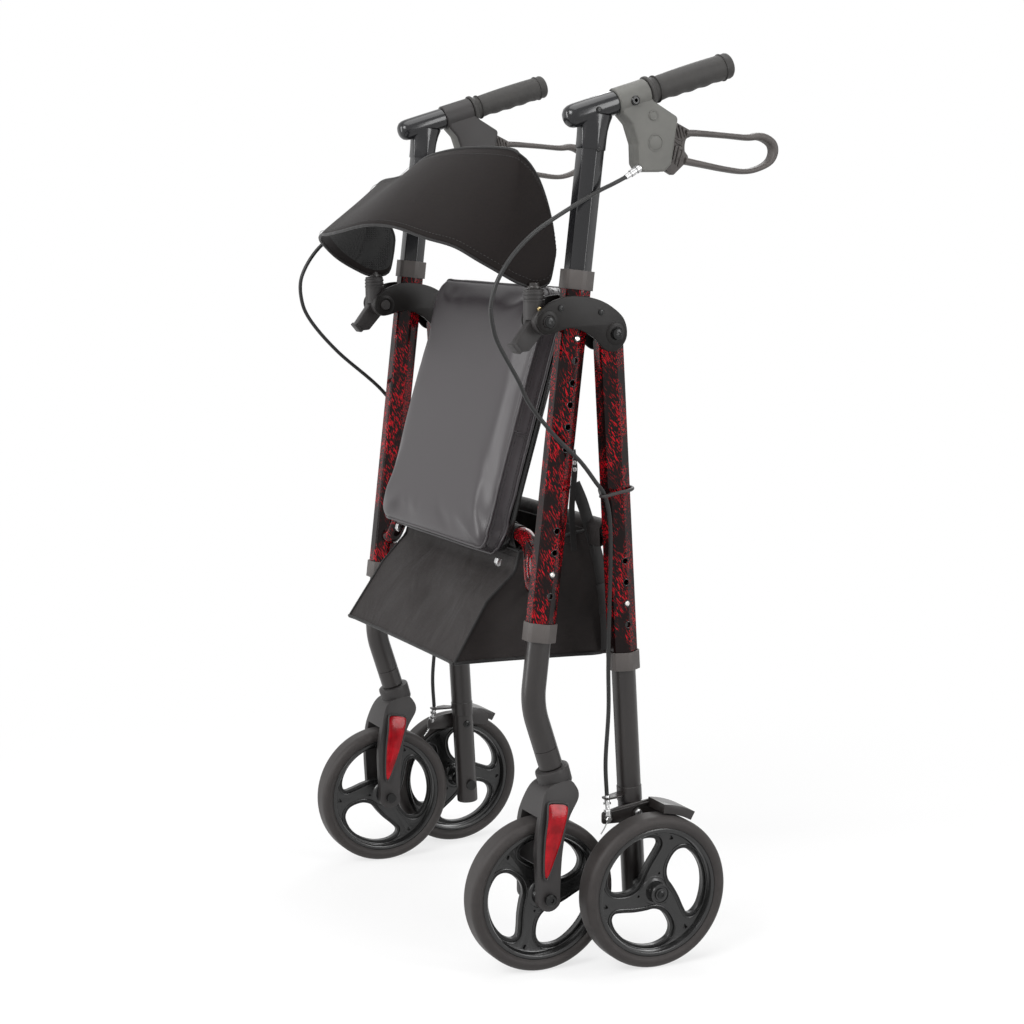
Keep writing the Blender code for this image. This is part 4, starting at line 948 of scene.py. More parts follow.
def hex_loop(flats, corner, z, depth=1.0):
    """A hexagon with round corners at +X and -X, drawn out along Y by the depth."""
    reach = flats / math.sqrt(3) - corner / math.cos(math.radians(30))
    points = []
    for k in range(6):
        x, y = on_circle(reach, 60 * k)
        for i in range(5):
            across, along = on_circle(corner, 60 * k - 30 + 60 * i / 4)
            points.append((x + across, (y + along) * depth, z))
    return points


POST_LOW = 0.297
POST_LENGTH = 0.27
# The tee's sleeve, from its foot up: width over the flats, corner radius, height and depth
SLEEVE_LEVELS = (
    (0.0302, 0.0036, 0.0, 1.0), (0.0308, 0.0036, 0.0008, 1.0), (0.0306, 0.005, 0.012, 1.03),
    (0.03, 0.0075, 0.022, 1.12), (0.0292, 0.011, 0.031, 1.32), (0.0284, 0.0136, 0.04, 1.6),
)
# The tee and its bar: place along the bar and radius
TEE_PROFILE = (
    (-0.04, 0.002), (-0.0396, 0.0052), (-0.0383, 0.0085), (-0.0358, 0.0113), (-0.032, 0.013),
    (-0.027, 0.0137), (-0.01, 0.01385), (0.0225, 0.0138), (0.0262, 0.0134), (0.0265, 0.011),
    (0.176, 0.011),
)


def make_post(side_name, side):
    """Hexagonal post, its tee's sleeve, the tee's long rounded nose and the bar for the grip."""
    line, bar = front_line(side * HALF_SPACING), bar_line(side * HALF_SPACING)
    body = f"handle_{side_name}"
    post = skin([hex_loop(0.0285, 0.0032, z) for z in (POST_LOW, POST_LOW + POST_LENGTH)])
    low, high = sorted((side * 0.0125, side * 0.02))
    post = moved(with_cut(post, prism(arc(0, 0.342, 0.0034, 0, 360, 20)[:-1], low, high)), line)
    foot = TEE_HEIGHT - 0.046
    sleeve = moved(skin([hex_loop(flats, corner, foot + up, depth)
                         for flats, corner, up, depth in SLEEVE_LEVELS]), line)
    tee = turned(TEE_PROFILE, "Y", 48, bar)
    piece = finish_mesh(f"handle_post_and_tee_{side_name}", merged([post, sleeve, tee]), "gloss_black", body)
    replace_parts(piece, f"handle_post_{side_name}")
    spots = [(line @ Vector((side * 0.0152, 0.002, 0.5577)), Vector((side, 0, 0))),
             (bar @ Vector((side * 0.0136, -0.002, -0.001)), Vector((side, 0, 0)))]
    screws(f"tee_screws_{side_name}", spots, 0.0036, 0.0016, body)


GRIP_LOW = 0.069
GRIP_HIGH = 0.184
GRIP_STEPS = 44


def make_grip(side_name, side):
    """Rubber grip with a flange, shallow finger ribs underneath and a closed round end."""
    bar = bar_line(side * HALF_SPACING)
    low, high, length = GRIP_LOW, GRIP_HIGH, GRIP_HIGH - GRIP_LOW
    profile = [(low, 0.0114), (low, 0.0172), (low + 0.0009, 0.018), (low + 0.0031, 0.018),
               (low + 0.004, 0.0172), (low + 0.0072, 0.0149), (low + 0.011, 0.0143)]
    for k in range(1, GRIP_STEPS + 1):
        t = k / GRIP_STEPS
        swell = 0.0143 + 0.0009 * math.sin(math.pi * t) + 0.0006 * t
        profile.append((low + 0.011 + (length - 0.017) * t, swell))
    profile += [(high - 0.0042, 0.0153), (high - 0.002, 0.0146), (high - 0.0006, 0.0132), (high, 0.0105),
                (high, 0.005)]
    shape = turned(profile, "Y", 64)
    for vert in shape.verts:
        x, y, z = vert.co
        radius = math.hypot(x, z)
        share = (y - low - 0.016) / (length - 0.034)
        if radius < 0.012 or not 0 <= share <= 1:
            continue
        under = max(0.0, -z / radius) ** 1.5
        wave = 0.5 - 0.5 * math.cos(2 * math.pi * sizes().grip_ribs * share)
        grown = 1 - 0.075 * under * wave
        vert.co.x *= grown
        vert.co.z *= grown
    moved(shape, bar)
    rings = [turned([(y - 0.0007, 0.0138), (y - 0.0003, 0.0162), (y + 0.0003, 0.0162), (y + 0.0007, 0.0138)],
                    "Y", 64, bar) for y in (low + 0.0125, high - 0.0115)]
    piece = finish_mesh(f"ribbed_grip_{side_name}", merged([shape, *rings]), "rubber", f"handle_{side_name}")
    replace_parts(piece, f"grip_{side_name}")


class ROLLATOR_OT_legs(bpy.types.Operator):
    """Bent front legs, straight rear legs and the cable stops on them"""

    bl_idname = "rollator.legs"
    bl_label = "Lower legs"

    def execute(self, context):
        return on_both_sides(make_front_leg, make_rear_leg)


def make_front_leg(side_name, side):
    """Round tube, bent to the stem line, with a stub pressed into its lower end."""
    line = front_line(side * HALF_SPACING)
    turn = FRONT_LEAN + STEM_LEAN
    radius, steps = 0.1, 20
    start = radius * math.tan(turn / 2) - LEG_BEND_DROP
    path = [Vector((0, 0, 0.09)), Vector((0, 0, 0.03)), Vector((0, 0, 0.0))]
    for k in range(steps + 1):
        a = turn * k / steps
        path.append(Vector((0, radius * (1 - math.cos(a)), start - radius * math.sin(a))))
    down = Vector((0, math.sin(turn), -math.cos(turn)))
    bend = Vector((0, 0, -LEG_BEND_DROP))
    path += [bend + down * 0.038, bend + down * 0.056]
    upper = tube([line @ p for p in path], LEG_RADIUS, 40)
    lower = [line @ (bend + down * reach) for reach in (0.056, 0.0566, 0.0572, 0.0795, 0.0805)]
    slim = LEG_RADIUS - 0.0008
    stub = tube(lower, [slim, slim, LEG_RADIUS, LEG_RADIUS, slim], 40)
    piece = finish_mesh(f"bent_leg_{side_name}", merged([upper, stub]), "satin_black",
                        f"front_leg_{side_name}")
    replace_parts(piece, f"front_leg_{side_name}")


def make_rear_leg(side_name, side):
    """Round tube with the bracket that the brake cable's sleeve ends in."""
    line = rear_line(side * HALF_SPACING)
    leg = turned([(-0.6845, 0.0128), (-0.6838, 0.0139), (-0.6825, LEG_RADIUS), (-0.297, LEG_RADIUS)], "Z", 48,
                 line)
    low, high = -0.5495, -0.547
    outline = [(-0.002, -0.0125), (0.008, -0.0108), (0.0185, -0.02), (0.0185, -0.041), (0.0075, -0.041)]
    bracket = skin([[(side * x, y, z) for x, y in outline] for z in (low, high)])
    bracket = moved(bevelled(bracket, 0.0006), line)
    band = turned([(low - 0.01, 0.0145), (low - 0.0095, 0.015), (high + 0.0055, 0.015),
                   (high + 0.006, 0.0145)], "Z", 48, line)
    piece = finish_mesh(f"rear_lower_leg_{side_name}", merged([leg, bracket, band]), "satin_black",
                        f"rear_leg_{side_name}")
    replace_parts(piece, f"rear_leg_{side_name}")


# Brake handles

HOUSING_OUTLINE = (
    (0.099, 1.01), (0.1, 0.9988), (0.111, 0.9876), (0.119, 0.9651), (0.12, 0.9426),
    (0.126, 0.9337), (0.1544, 0.934), (0.1632, 0.943), (0.1714, 0.9963), (0.1448, 1.011),
    (0.133, 1.022),
)
HOUSING_HALF = 0.0134
LEVER_PIVOT = (0.1378, 0.9978)
LEVER_TOP_ROOT = ((0.148, 0.999), (0.17, 0.9925), (0.1923, 0.982), (0.189, 0.974), (0.18, 0.969),
                  (0.164, 0.976))
LEVER_LOW_ROOT = ((0.164, 0.964), (0.18, 0.964), (0.19, 0.952), (0.186, 0.944), (0.17, 0.93),
                  (0.1615, 0.9345), (0.156, 0.949))
LEVER_LOOP = (
    (0.186, 0.9788), (0.205, 0.9787), (0.24, 0.9767), (0.27, 0.9748), (0.285, 0.9763),
    (0.296, 0.9738), (0.305, 0.9672), (0.3068, 0.957), (0.301, 0.9465), (0.286, 0.9388),
    (0.2667, 0.9352), (0.24, 0.9378), (0.21, 0.9428), (0.185, 0.947),
)


LEVER_WEB = (
    (0.15, 0.996), (0.19, 0.979), (0.185, 0.974), (0.1822, 0.964), (0.1838, 0.953),
    (0.188, 0.945), (0.17, 0.934), (0.156, 0.944),
)
LEVER_RIM = ((0.1925, 0.9785), (0.185, 0.9742), (0.1822, 0.964), (0.1838, 0.953), (0.1905, 0.9462))
# Each rib's two ends in side view
WEB_RIBS = (
    ((0.17, 0.979), (0.183, 0.97)), ((0.17, 0.97), (0.1815, 0.964)),
    ((0.169, 0.956), (0.1815, 0.96)), ((0.168, 0.945), (0.183, 0.953)),
)
ROOT_RIBS = (
    ((0.172, 0.9898), (0.177, 0.9735)), ((0.1765, 0.988), (0.1812, 0.9722)),
    ((0.1812, 0.986), (0.1852, 0.974)), ((0.1725, 0.964), (0.169, 0.948)),
    ((0.1772, 0.9628), (0.1722, 0.943)), ((0.182, 0.959), (0.176, 0.94)),
)


class ROLLATOR_OT_brakes(bpy.types.Operator):
    """Brake housings clamped on the bars, and their looped levers"""

    bl_idname = "rollator.brakes"
    bl_label = "Brake handles"

    def execute(self, context):
        return on_both_sides(make_housing, make_lever)


def make_housing(side_name, side):
    """Moulded shell in two halves, with its clamp ring, a bare round boss and the pivot's cap."""
    body = f"handle_{side_name}"
    centre, bar = side_middle(side), bar_line(side * HALF_SPACING)
    outline = rounded_outline(HOUSING_OUTLINE, 0.006)
    shell = bevelled(prism(outline, -HOUSING_HALF, HOUSING_HALF, centre), 0.0028, 4)
    ring = turned([(0.0269, 0.011), (0.0269, 0.015), (0.028, 0.0161), (0.0672, 0.0161), (0.0684, 0.015),
                   (0.0684, 0.011)], "Y", 48, bar)
    seam = bevelled(prism(outline, -0.0004, 0.0004, centre @ seam_growth()), 0.0001, 1)
    boss_place = centre @ Matrix.Translation((0, 0.1412, 0.9668))
    out = side * HOUSING_HALF
    inner, proud = out - side * 0.002, out + side * 0.0006
    boss = turned([(inner, 0.0098), (proud, 0.0098), (proud, 0.0088), (inner, 0.0088)], "X", 40, boss_place,
                  closed=True)
    disc = turned([(inner, 0.008), (out + side * 0.0002, 0.008), (out + side * 0.0005, 0.0074)], "X", 40,
                  boss_place)
    piece = finish_mesh(f"brake_housing_shell_{side_name}", merged([shell, ring, seam, boss, disc]),
                        "housing", body)
    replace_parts(piece, f"brake_housing_{side_name}")
    piece.data.materials.append(FINISH["plastic"])
    for face in piece.data.polygons:
        if (face.center.x - side * HALF_SPACING) * side < -0.0005:
            face.material_index = 1
    clamp = bar @ Vector((side * 0.015, 0.045, -0.0035))
    screws(f"clamp_bolt_{side_name}", [(clamp, Vector((side, 0, 0)))], 0.0056, 0.003, body)
    profile = [(out, 0.0058), (out + side * 0.0012, 0.0056), (out + side * 0.0016, 0.0048),
               (out + side * 0.0011, 0.0042), (out + side * 0.0013, 0.003)]
    cap = turned(profile, "X", 32, centre @ Matrix.Translation((0, *LEVER_PIVOT)))
    finish_mesh(f"lever_pivot_cap_{side_name}", cap, "housing", body)


def seam_growth():
    """Grows the seam's outline a little about the housing's middle, so that it stands just proud."""
    middle = Matrix.Translation((0, 0.138, 0.975))
    return middle @ Matrix.Diagonal((1, 1.008, 1.006, 1)) @ middle.inverted()


def make_lever(side_name, side):
    """A looped lever: a flattened bar round the fingers, two roots with slanting ribs, and its pivot."""
    centre = side_middle(side)
    shapes = [moved(lever_bar(), centre)]
    for outline in (LEVER_TOP_ROOT, LEVER_LOW_ROOT):
        shapes.append(bevelled(prism(rounded_outline(outline, 0.003), -0.0044, 0.0044, centre), 0.0008))
    hub = arc(*LEVER_PIVOT, 0.0078, 0, 360, 32)[:-1]
    shapes.append(bevelled(prism(hub, -0.007, 0.007, centre), 0.0008))
    shapes.append(bevelled(prism(LEVER_WEB, -0.0034, 0.0034, centre), 0.0004))
    rim = smooth_path([(0, *p) for p in LEVER_RIM], 0.003)
    shapes.append(moved(tube(rim, 0.0042, 12), centre))
    for (y0, z0), (y1, z1) in WEB_RIBS:
        for x in (-0.0038, 0.0038):
            shapes.append(moved(tube([(x, y0, z0), (x, y1, z1)], 0.001, 8), centre))
    for (y0, z0), (y1, z1) in ROOT_RIBS:
        for x in (-0.005, 0.005):
            rib = [(x, y0, z0), (x, (y0 + y1) / 2, (z0 + z1) / 2), (x, y1, z1)]
            shapes.append(moved(tube(rib, 0.0011, 8), centre))
    piece = finish_mesh(f"looped_brake_lever_{side_name}", merged(shapes), "collar", f"lever_{side_name}")
    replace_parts(piece, f"brake_lever_{side_name}")


def lever_bar():
    """The bar along the loop: a flat oval that grows thicker at the fingers' end and at the roots."""
    path = smooth_path([(0, y, z) for y, z in LEVER_LOOP], 0.003)
    loops = []
    for i, point in enumerate(path):
        out = Vector((1, 0, 0)).cross(run_at(path, i).normalized()).normalized()
        t = i / (len(path) - 1)
        thick = 0.0032 + 0.0018 * math.exp(-((t - 0.43) / 0.1) ** 2) + 0.001 * abs(2 * t - 1) ** 3
        wide = 0.0082 + 0.0006 * math.exp(-((t - 0.43) / 0.2) ** 2)
        loop = []
        for a in round_turns(20):
            c, s = math.cos(a), math.sin(a)
            x = math.copysign(abs(c) ** 0.62, c) * wide
            h = math.copysign(abs(s) ** 0.8, s) * thick
            loop.append(point + Vector((x, 0, 0)) + out * h)
        loops.append(loop)
    return skin(loops)


# Hinge plates, bolts and band brackets

PLATE_OUTLINE = (
    (-0.0135, 0.764), (-0.0115, 0.7735), (-0.0035, 0.7822), (0.006, 0.788), (0.0215, 0.7927),
    (0.037, 0.7938), (0.053, 0.792), (0.069, 0.7875), (0.083, 0.78), (0.0955, 0.7695),
    (0.101, 0.758), (0.1015, 0.746), (0.097, 0.737), (0.089, 0.7305), (0.08, 0.729),
    (0.072, 0.7325), (0.064, 0.741), (0.054, 0.749), (0.042, 0.7545), (0.03, 0.757),
    (0.018, 0.755), (0.009, 0.752), (-0.001, 0.7505), (-0.009, 0.754),
)
BAND_PIVOT = (0.0011, 0.7648)
SPACER_SCREWS = ((0.0164, 0.7803), (0.0678, 0.7747))
PLATE_NEAR = TUBE_OUT + 0.0004
PLATE_FAR = PLATE_NEAR + 0.004


class ROLLATOR_OT_hinges(bpy.types.Operator):
    """Hinge plates with their raised rims, the fold bolts, spacer screws and the back band's brackets"""

    bl_idname = "rollator.hinges"
    bl_label = "Hinge plates and brackets"

    def execute(self, context):
        return on_both_sides(make_plates, make_band_bracket)


def make_plates(side_name, side):
    """The outer and the inner plate, with raised discs round the two pivots, and the screws' heads."""
    centre = side_middle(side)
    outline = outline_through(PLATE_OUTLINE, 0.0022)
    for where, sign in (("outer", side), ("inner", -side)):
        near, far = sign * PLATE_NEAR, sign * PLATE_FAR
        shapes = [bevelled(prism(outline, min(near, far), max(near, far), centre), 0.0009, 3)]
        for y, z, radius in ((*FOLD_PIVOT, 0.0132), (*BAND_PIVOT, 0.0128)):
            shapes.append(turned([(far - sign * 0.001, radius), (far + sign * 0.0004, radius),
                                  (far + sign * 0.0008, radius - 0.0006), (far + sign * 0.0008, 0.008),
                                  (far + sign * 0.0002, 0.0076)], "X", 40,
                                 centre @ Matrix.Translation((0, y, z))))
        piece = finish_mesh(f"hinge_plate_cover_{where}_{side_name}", merged(shapes), "plate", "frame")
        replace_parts(piece, f"hinge_plate_{where}_{side_name}")
    set_finish(f"fold_bolt_{side_name}", "bolt_black")
    outward = Vector((side, 0, 0))
    bolt = [(centre @ Vector((side * (PLATE_FAR + 0.0036), *FOLD_PIVOT)), outward)]
    spacers = [(centre @ Vector((side * (PLATE_FAR + 0.0004), *spot)), outward) for spot in SPACER_SCREWS]
    screws(f"fold_bolt_head_{side_name}", bolt, 0.0064, 0.0024, "frame")
    screws(f"plate_screws_{side_name}", spacers, 0.0036, 0.0016, "frame")


def make_band_bracket(side_name, side):
    """Pivot barrel, socket with its ribs, stop tab and the round bolt head."""
    x = side * HALF_SPACING
    centre = side_middle(side)
    pivot = centre @ Matrix.Translation((0, *BAND_PIVOT))
    barrel = turned([(-0.016, 0.0138), (-0.015, 0.0149), (0.015, 0.0149), (0.016, 0.0138)], "X", 40,
                    pivot)
    socket_place = centre @ Matrix.Translation((side * -0.0015, -0.0066, 0))
    profile = [(0.7668, 0.0118), (0.787, 0.012)]
    for k in range(3):
        low = 0.7875 + 0.0042 * k
        profile += [(low, 0.0126), (low + 0.0022, 0.0126), (low + 0.0027, 0.0118), (low + 0.004, 0.0118)]
    profile += [(0.8008, 0.0118), (0.8015, 0.0108), (0.8015, 0.0066)]
    socket = turned(profile, "Z", 40, socket_place)
    tab = [(0.004, -0.01), (-0.017, -0.0335), (-0.03, -0.0345), (-0.036, -0.026), (-0.03, -0.018),
           (-0.013, 0.005)]
    tab = bevelled(prism(about_band_pivot(tab, 0.004), -0.0065, 0.0065, centre), 0.001)
    pad = [(-0.03, -0.0365), (-0.0385, -0.0265), (-0.035, -0.0235), (-0.0262, -0.0345)]
    pad = bevelled(prism(about_band_pivot(pad, 0.001), -0.0085, 0.0085, centre), 0.0005)
    end, face = PLATE_FAR + 0.0028, PLATE_FAR + 0.0003
    pin = turned([(-end, 0.006), (-face, 0.0068), (-face, 0.004), (face, 0.004), (face, 0.0068),
                  (end, 0.006)], "X", 32, pivot)
    piece = finish_mesh(f"band_bracket_body_{side_name}", merged([barrel, socket, tab, pad, pin]), "plastic",
                        "back_band")
    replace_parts(piece, f"band_bracket_{side_name}")
    head = place(x + side * (PLATE_FAR + 0.0032), *BAND_PIVOT)
    screws(f"band_bolt_head_{side_name}", [(head, Vector((side, 0, 0)))], 0.006, 0.0022, "back_band")
    pin = turned([(0, 0.0026), (side * 0.002, 0.0026), (side * 0.0026, 0.0018)], "X", 20,
                 socket_place @ Matrix.Translation((side * 0.0118, 0.001, 0.779)))
    finish_mesh(f"band_spring_pin_{side_name}", pin, "brass", "back_band")


def about_band_pivot(points, radius):
    """An outline with round corners, from points given from the band's pivot."""
    y0, z0 = BAND_PIVOT
    return rounded_outline([(y0 + y, z0 + z) for y, z in points], radius)


# Forks and wheels


FORK_HALF = 0.03
WHEEL_ROOM = 0.098
# The lens's dome: share of its outline and height over the fork's face
LENS_DOME = ((1.0, -0.001), (1.0, 0.0006), (0.93, 0.0012), (0.72, 0.0017), (0.45, 0.002), (0.18, 0.0021))


class ROLLATOR_OT_forks(bpy.types.Operator):
    """Forks with their stem rings, red reflectors and axle bolts"""

    bl_idname = "rollator.forks"
    bl_label = "Forks and reflectors"

    def execute(self, context):
        return on_both_sides(make_fork)


FORK_ARM = (
    (0.014, 0.011), (0.017, 0.056), (0.025, 0.093), (0.041, 0.117), (0.038, 0.131),
    (0.028, 0.137), (0.001, 0.129), (-0.011, 0.1), (-0.0165, 0.06), (-0.0145, 0.011),
)
LENS_OUTLINE = ((0.003, 0.2042), (0.0135, 0.2036), (0.023, 0.201), (0.0245, 0.196), (0.021, 0.183),
                (0.013, 0.156), (0.004, 0.133), (-0.001, 0.1215), (-0.0042, 0.118), (-0.0066, 0.123),
                (-0.007, 0.14), (-0.0055, 0.165), (-0.002, 0.19), (0.0, 0.201))


def make_fork(side_name, side):
    """Two tapering flanks over the wheel, the ring on the stem, the lenses and the axle's head."""
    centre = side_middle(side, AXLE_HEIGHT)
    body = f"caster_{side_name}"
    outline = outline_through([*FORK_ARM, *arc(0, 0, 0.015, 200, 340, 6)], 0.0035)
    shape = prism(outline, -FORK_HALF, FORK_HALF)
    for vert in shape.verts:
        vert.co.x *= fork_taper(vert.co.z)
    slot = [(WHEEL_ROOM + 0.02, -0.05), *arc(0, 0, WHEEL_ROOM, 20, 160, 28), (-WHEEL_ROOM - 0.02, -0.05)]
    shape = with_cut(shape, prism(slot, -0.0205, 0.0205))
    shape = moved(bevelled(shape, 0.0026, 3), centre)
    bend = (FRONT_FOOT[0] - LEG_BEND_DROP * math.sin(FRONT_LEAN),
            FRONT_FOOT[1] - LEG_BEND_DROP * math.cos(FRONT_LEAN))
    top = -0.0813
    ring = turned([(top - 0.022, 0.0188), (top - 0.0195, 0.0199), (top - 0.003, 0.0205),
                   (top - 0.0008, 0.02), (top, 0.0188), (top, 0.006)], "Z", 48,
                  line_frame(side * HALF_SPACING, bend, STEM_LEAN))
    piece = finish_mesh(f"fork_body_{side_name}", merged([shape, ring]), "plastic", body)
    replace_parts(piece, f"fork_{side_name}")
    set_finish(f"front_axle_{side_name}", "bolt_black")
    for where, face in (("outer", side), ("inner", -side)):
        make_lens(f"{where}_{side_name}", side * HALF_SPACING, face, body)
    heads = [(place(side * (HALF_SPACING + 0.0335), 0, AXLE_HEIGHT), Vector((side, 0, 0)))]
    screws(f"front_axle_head_{side_name}", heads, 0.0072, 0.0036, body)


def fork_taper(height):
    """How much narrower the fork is at a height above the axle than at its foot."""
    return 1.0 - 0.33 * smoothstep((height - 0.09) / 0.045)


def make_lens(label, x, face, body):
    """The red lens, domed, in a raised rim that follows the fork's taper."""
    path = smooth_path([(0, y, z) for y, z in LENS_OUTLINE], 0.0022, closed=True)
    middle = sum(path, Vector()) / len(path)

    def over_face(share, proud):
        points = [middle + (p - middle) * share for p in path]
        reaches = [FORK_HALF * fork_taper(p.z - AXLE_HEIGHT) + proud for p in points]
        return [place(x + face * reach, p.y, p.z) for reach, p in zip(reaches, points)]

    lens = skin([over_face(share, proud) for share, proud in LENS_DOME])
    finish_mesh(f"reflector_{label}", lens, "lens", body)
    rim = ring_tube(over_face(1.055, 0.0002), 0.0013, 10)
    finish_mesh(f"reflector_rim_{label}", rim, "plastic", body)


# A window's outline: degrees from its middle, towards its round end, and metres from the axle
WINDOW = (
    (38, 0.064), (24, 0.0668), (8, 0.0675), (-10, 0.0672), (-26, 0.066), (-38, 0.063),
    (-43, 0.057), (-39, 0.048), (-24, 0.035), (0, 0.0255), (22, 0.0225), (42, 0.0265),
    (51, 0.036), (51, 0.05), (46, 0.059),
)
# Beads round a window: how far outside its edge, place along the axle, radius and sides
WINDOW_BEADS = (
    (0.0048, 0.0056, 0.00095, 8), (0.0006, 0.0036, 0.0009, 6), (0.0024, 0.0036, 0.0006, 6),
    (0.004, 0.0036, 0.0006, 6),
)
# Each wheel's place and how far it's turned, in degrees
WHEELS = (("front", "left", 195), ("front", "right", 247), ("rear", "left", 6.5), ("rear", "right", 50))
REAR_WHEEL_OUT = 0.0468
# The rear hub's cap: distance out from the hub's face and radius
HUB_CAP = (
    (0.0, 0.0124), (0.0024, 0.0122), (0.0032, 0.0114), (0.0032, 0.01), (0.002, 0.0094),
    (0.002, 0.0076), (0.004, 0.007), (0.0042, 0.0062), (0.0042, 0.0001),
)


class ROLLATOR_OT_wheels(bpy.types.Operator):
    """Wheels with three swirled windows in raised beads, stepped hubs and smooth tyres"""

    bl_idname = "rollator.wheels"
    bl_label = "Wheels"

    def execute(self, context):
        rims = {"front": rim_shape(-1, 0.0197, 0.0043), "rear": rim_shape(1, 0.0197, 0.0053)}
        for kind, side_name, middle in WHEELS:
            name = f"{kind}_wheel_{side_name}"
            side = SIDES[side_name]
            x, y = side * HALF_SPACING, 0.0
            if kind == "rear":
                x, y = side * (HALF_SPACING + REAR_WHEEL_OUT), rear_tube_y(AXLE_HEIGHT)
            centre = Matrix.Translation(place(x, y, AXLE_HEIGHT))
            shape = moved(rims[kind].copy(), centre @ Matrix.Rotation(math.radians(middle), 4, "X"))
            rim = finish_mesh(f"{name}_swirl_rim", shape, "wheel_plastic", name,
                              math.radians(30))
            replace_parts(rim, f"{name}_rim")
            tyre = finish_mesh(f"{name}_smooth_tyre", tyre_shape(centre), "tyre", name)
            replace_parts(tyre, f"{name}_tyre")
            if kind == "rear":
                set_finish(f"rear_axle_{side_name}", "bolt_black")
                out = side * 0.019
                cap = turned([(out + side * reach, radius) for reach, radius in HUB_CAP], "X", 48, centre)
                finish_mesh(f"{name}_hub_cap", cap, "wheel_plastic", name)
                head = place(x + side * 0.0236, y, AXLE_HEIGHT)
                screws(f"{name}_axle_head", [(head, Vector((side, 0, 0)))], 0.005, 0.0016, name)
        for shape in rims.values():
            shape.free()
        return {"FINISHED"}


def tyre_shape(centre):
    """The tyre's tread and shoulders, and the flat seat that sits on the rim."""
    half = 0.0165
    left = [(-0.0138, 0.0777), (-0.0146, 0.079), (-0.0158, 0.0802), (-half, 0.0822),
            (-half - 0.0001, 0.0838)]
    for k in range(9):
        across, up = on_circle(0.0082, 90 * k / 8)
        left.append((-half + (0.0082 - across), 0.0838 + up))
    profile = [*left, (-0.003, 0.09203), (0.003, 0.09203), *((-x, r) for x, r in reversed(left)),
               (0.013, 0.0777), (-0.013, 0.0777)]
    return turned(profile, "X", 96, centre, closed=True)


def window_path(swirl, middle, grow=0.0):
    """A window's smooth outline in side view, grown outwards by this much."""
    knots = [on_circle(radius, middle + swirl * degrees) for degrees, radius in WINDOW]
    path = outline_through(knots, 0.0026)
    if not grow:
        return path
    path = [Vector(p) for p in path]
    count = len(path)
    area = sum(path[i].cross(path[(i + 1) % count]) for i in range(count))
    grown = []
    for i, point in enumerate(path):
        along = path[(i + 1) % count] - path[i - 1]
        out = Vector((along.y, -along.x)).normalized() * math.copysign(1, area)
        spot = point + out * grow
        grown.append(tuple(spot * (min(max(spot.length, 0.0178), 0.0708) / spot.length)))
    return grown


def rim_shape(swirl, hub_half, bore):
    """The wheel's plastic body about its own axle."""
    half = [
        (hub_half, bore), (hub_half, 0.0095), (hub_half - 0.0008, 0.0103), (0.012, 0.0112), (0.01, 0.0122),
        (0.0086, 0.0128), (0.008, 0.015), (0.006, 0.017), (0.0055, 0.019), (0.0055, 0.069),
        (0.0062, 0.0704), (0.0125, 0.0716), (0.0142, 0.0726), (0.0148, 0.074), (0.0148, 0.0762),
        (0.014, 0.0775),
    ]
    shape = turned([*half, *((-x, r) for x, r in reversed(half))], "X", 96, closed=True)
    beads = []
    for middle in (0, 120, 240):
        recess = window_path(swirl, middle, 0.0042)
        for sign in (-1, 1):
            low, high = sorted((sign * 0.0036, sign * 0.0095))
            shape = with_cut(shape, prism(recess, low, high))
            for grow, out, radius, steps in WINDOW_BEADS:
                line = [(sign * out, y, z) for y, z in window_path(swirl, middle, grow)]
                beads.append(ring_tube(line, radius, steps))
        shape = with_cut(shape, prism(window_path(swirl, middle), -0.02, 0.02))
        for turn_on, radius, size in ((-56, 0.0655, 0.0042), (66, 0.0215, 0.0026)):
            at = middle + swirl * turn_on
            y, z = on_circle(radius, at)
            corners = [on_circle(size, at + turn) for turn in (20, 150, 265)]
            pocket = rounded_outline([(y + across, z + up) for across, up in corners], 0.0012, 3)
            for low, high in ((0.0028, 0.009), (-0.009, -0.0028)):
                shape = with_cut(shape, prism(pocket, low, high))
    bmesh.ops.remove_doubles(shape, verts=shape.verts, dist=2e-6)
    return merged([shape, *beads])


# Seat


def seat_frame():
    return Matrix.Translation(place(0, 0.02, 0.505)) @ Matrix.Rotation(-SEAT_LEAN, 4, "X")


SEAT_HALF = 0.169
SEAT_LOW = -0.0365
SEAT_HIGH = 0.3035
PAD_BACK = -0.0188
PAD_FRONT = -0.0568
SIDE_SEAM = 0.1175
PAD_SEAMS = (PAD_FRONT + 0.0065, PAD_BACK - 0.006)
SEAT_THREAD = 0.00042
# The pad's section: how far it draws in, and its place from the back face or, below, from the front one
PAD_BACK_STEPS = ((0.02, 0.0), (0.004, 0.0), (0.0005, -0.004), (0.0, -0.01))
PAD_FRONT_STEPS = ((0.0, 0.01), (0.0012, 0.004), (0.006, 0.0008), (0.02, 0.0))


class ROLLATOR_OT_seat(bpy.types.Operator):
    """Padded vinyl seat with piped seams, its board, knuckles and small hinge plates"""

    bl_idname = "rollator.seat"
    bl_label = "Seat"

    def execute(self, context):
        make_pad()
        softened_copy("seat_board", "wheel_plastic", "seat", 0.001)
        make_seat_hinges()
        return {"FINISHED"}


def rounded_rectangle(half_width, low, high, corner, y, steps=8):
    points = []
    for x, z, start in ((half_width - corner, high - corner, 0), (-half_width + corner, high - corner, 90),
                        (-half_width + corner, low + corner, 180), (half_width - corner, low + corner, 270)):
        points += [(px, y, pz) for px, pz in arc(x, z, corner, start, start + 90, steps)]
    return points


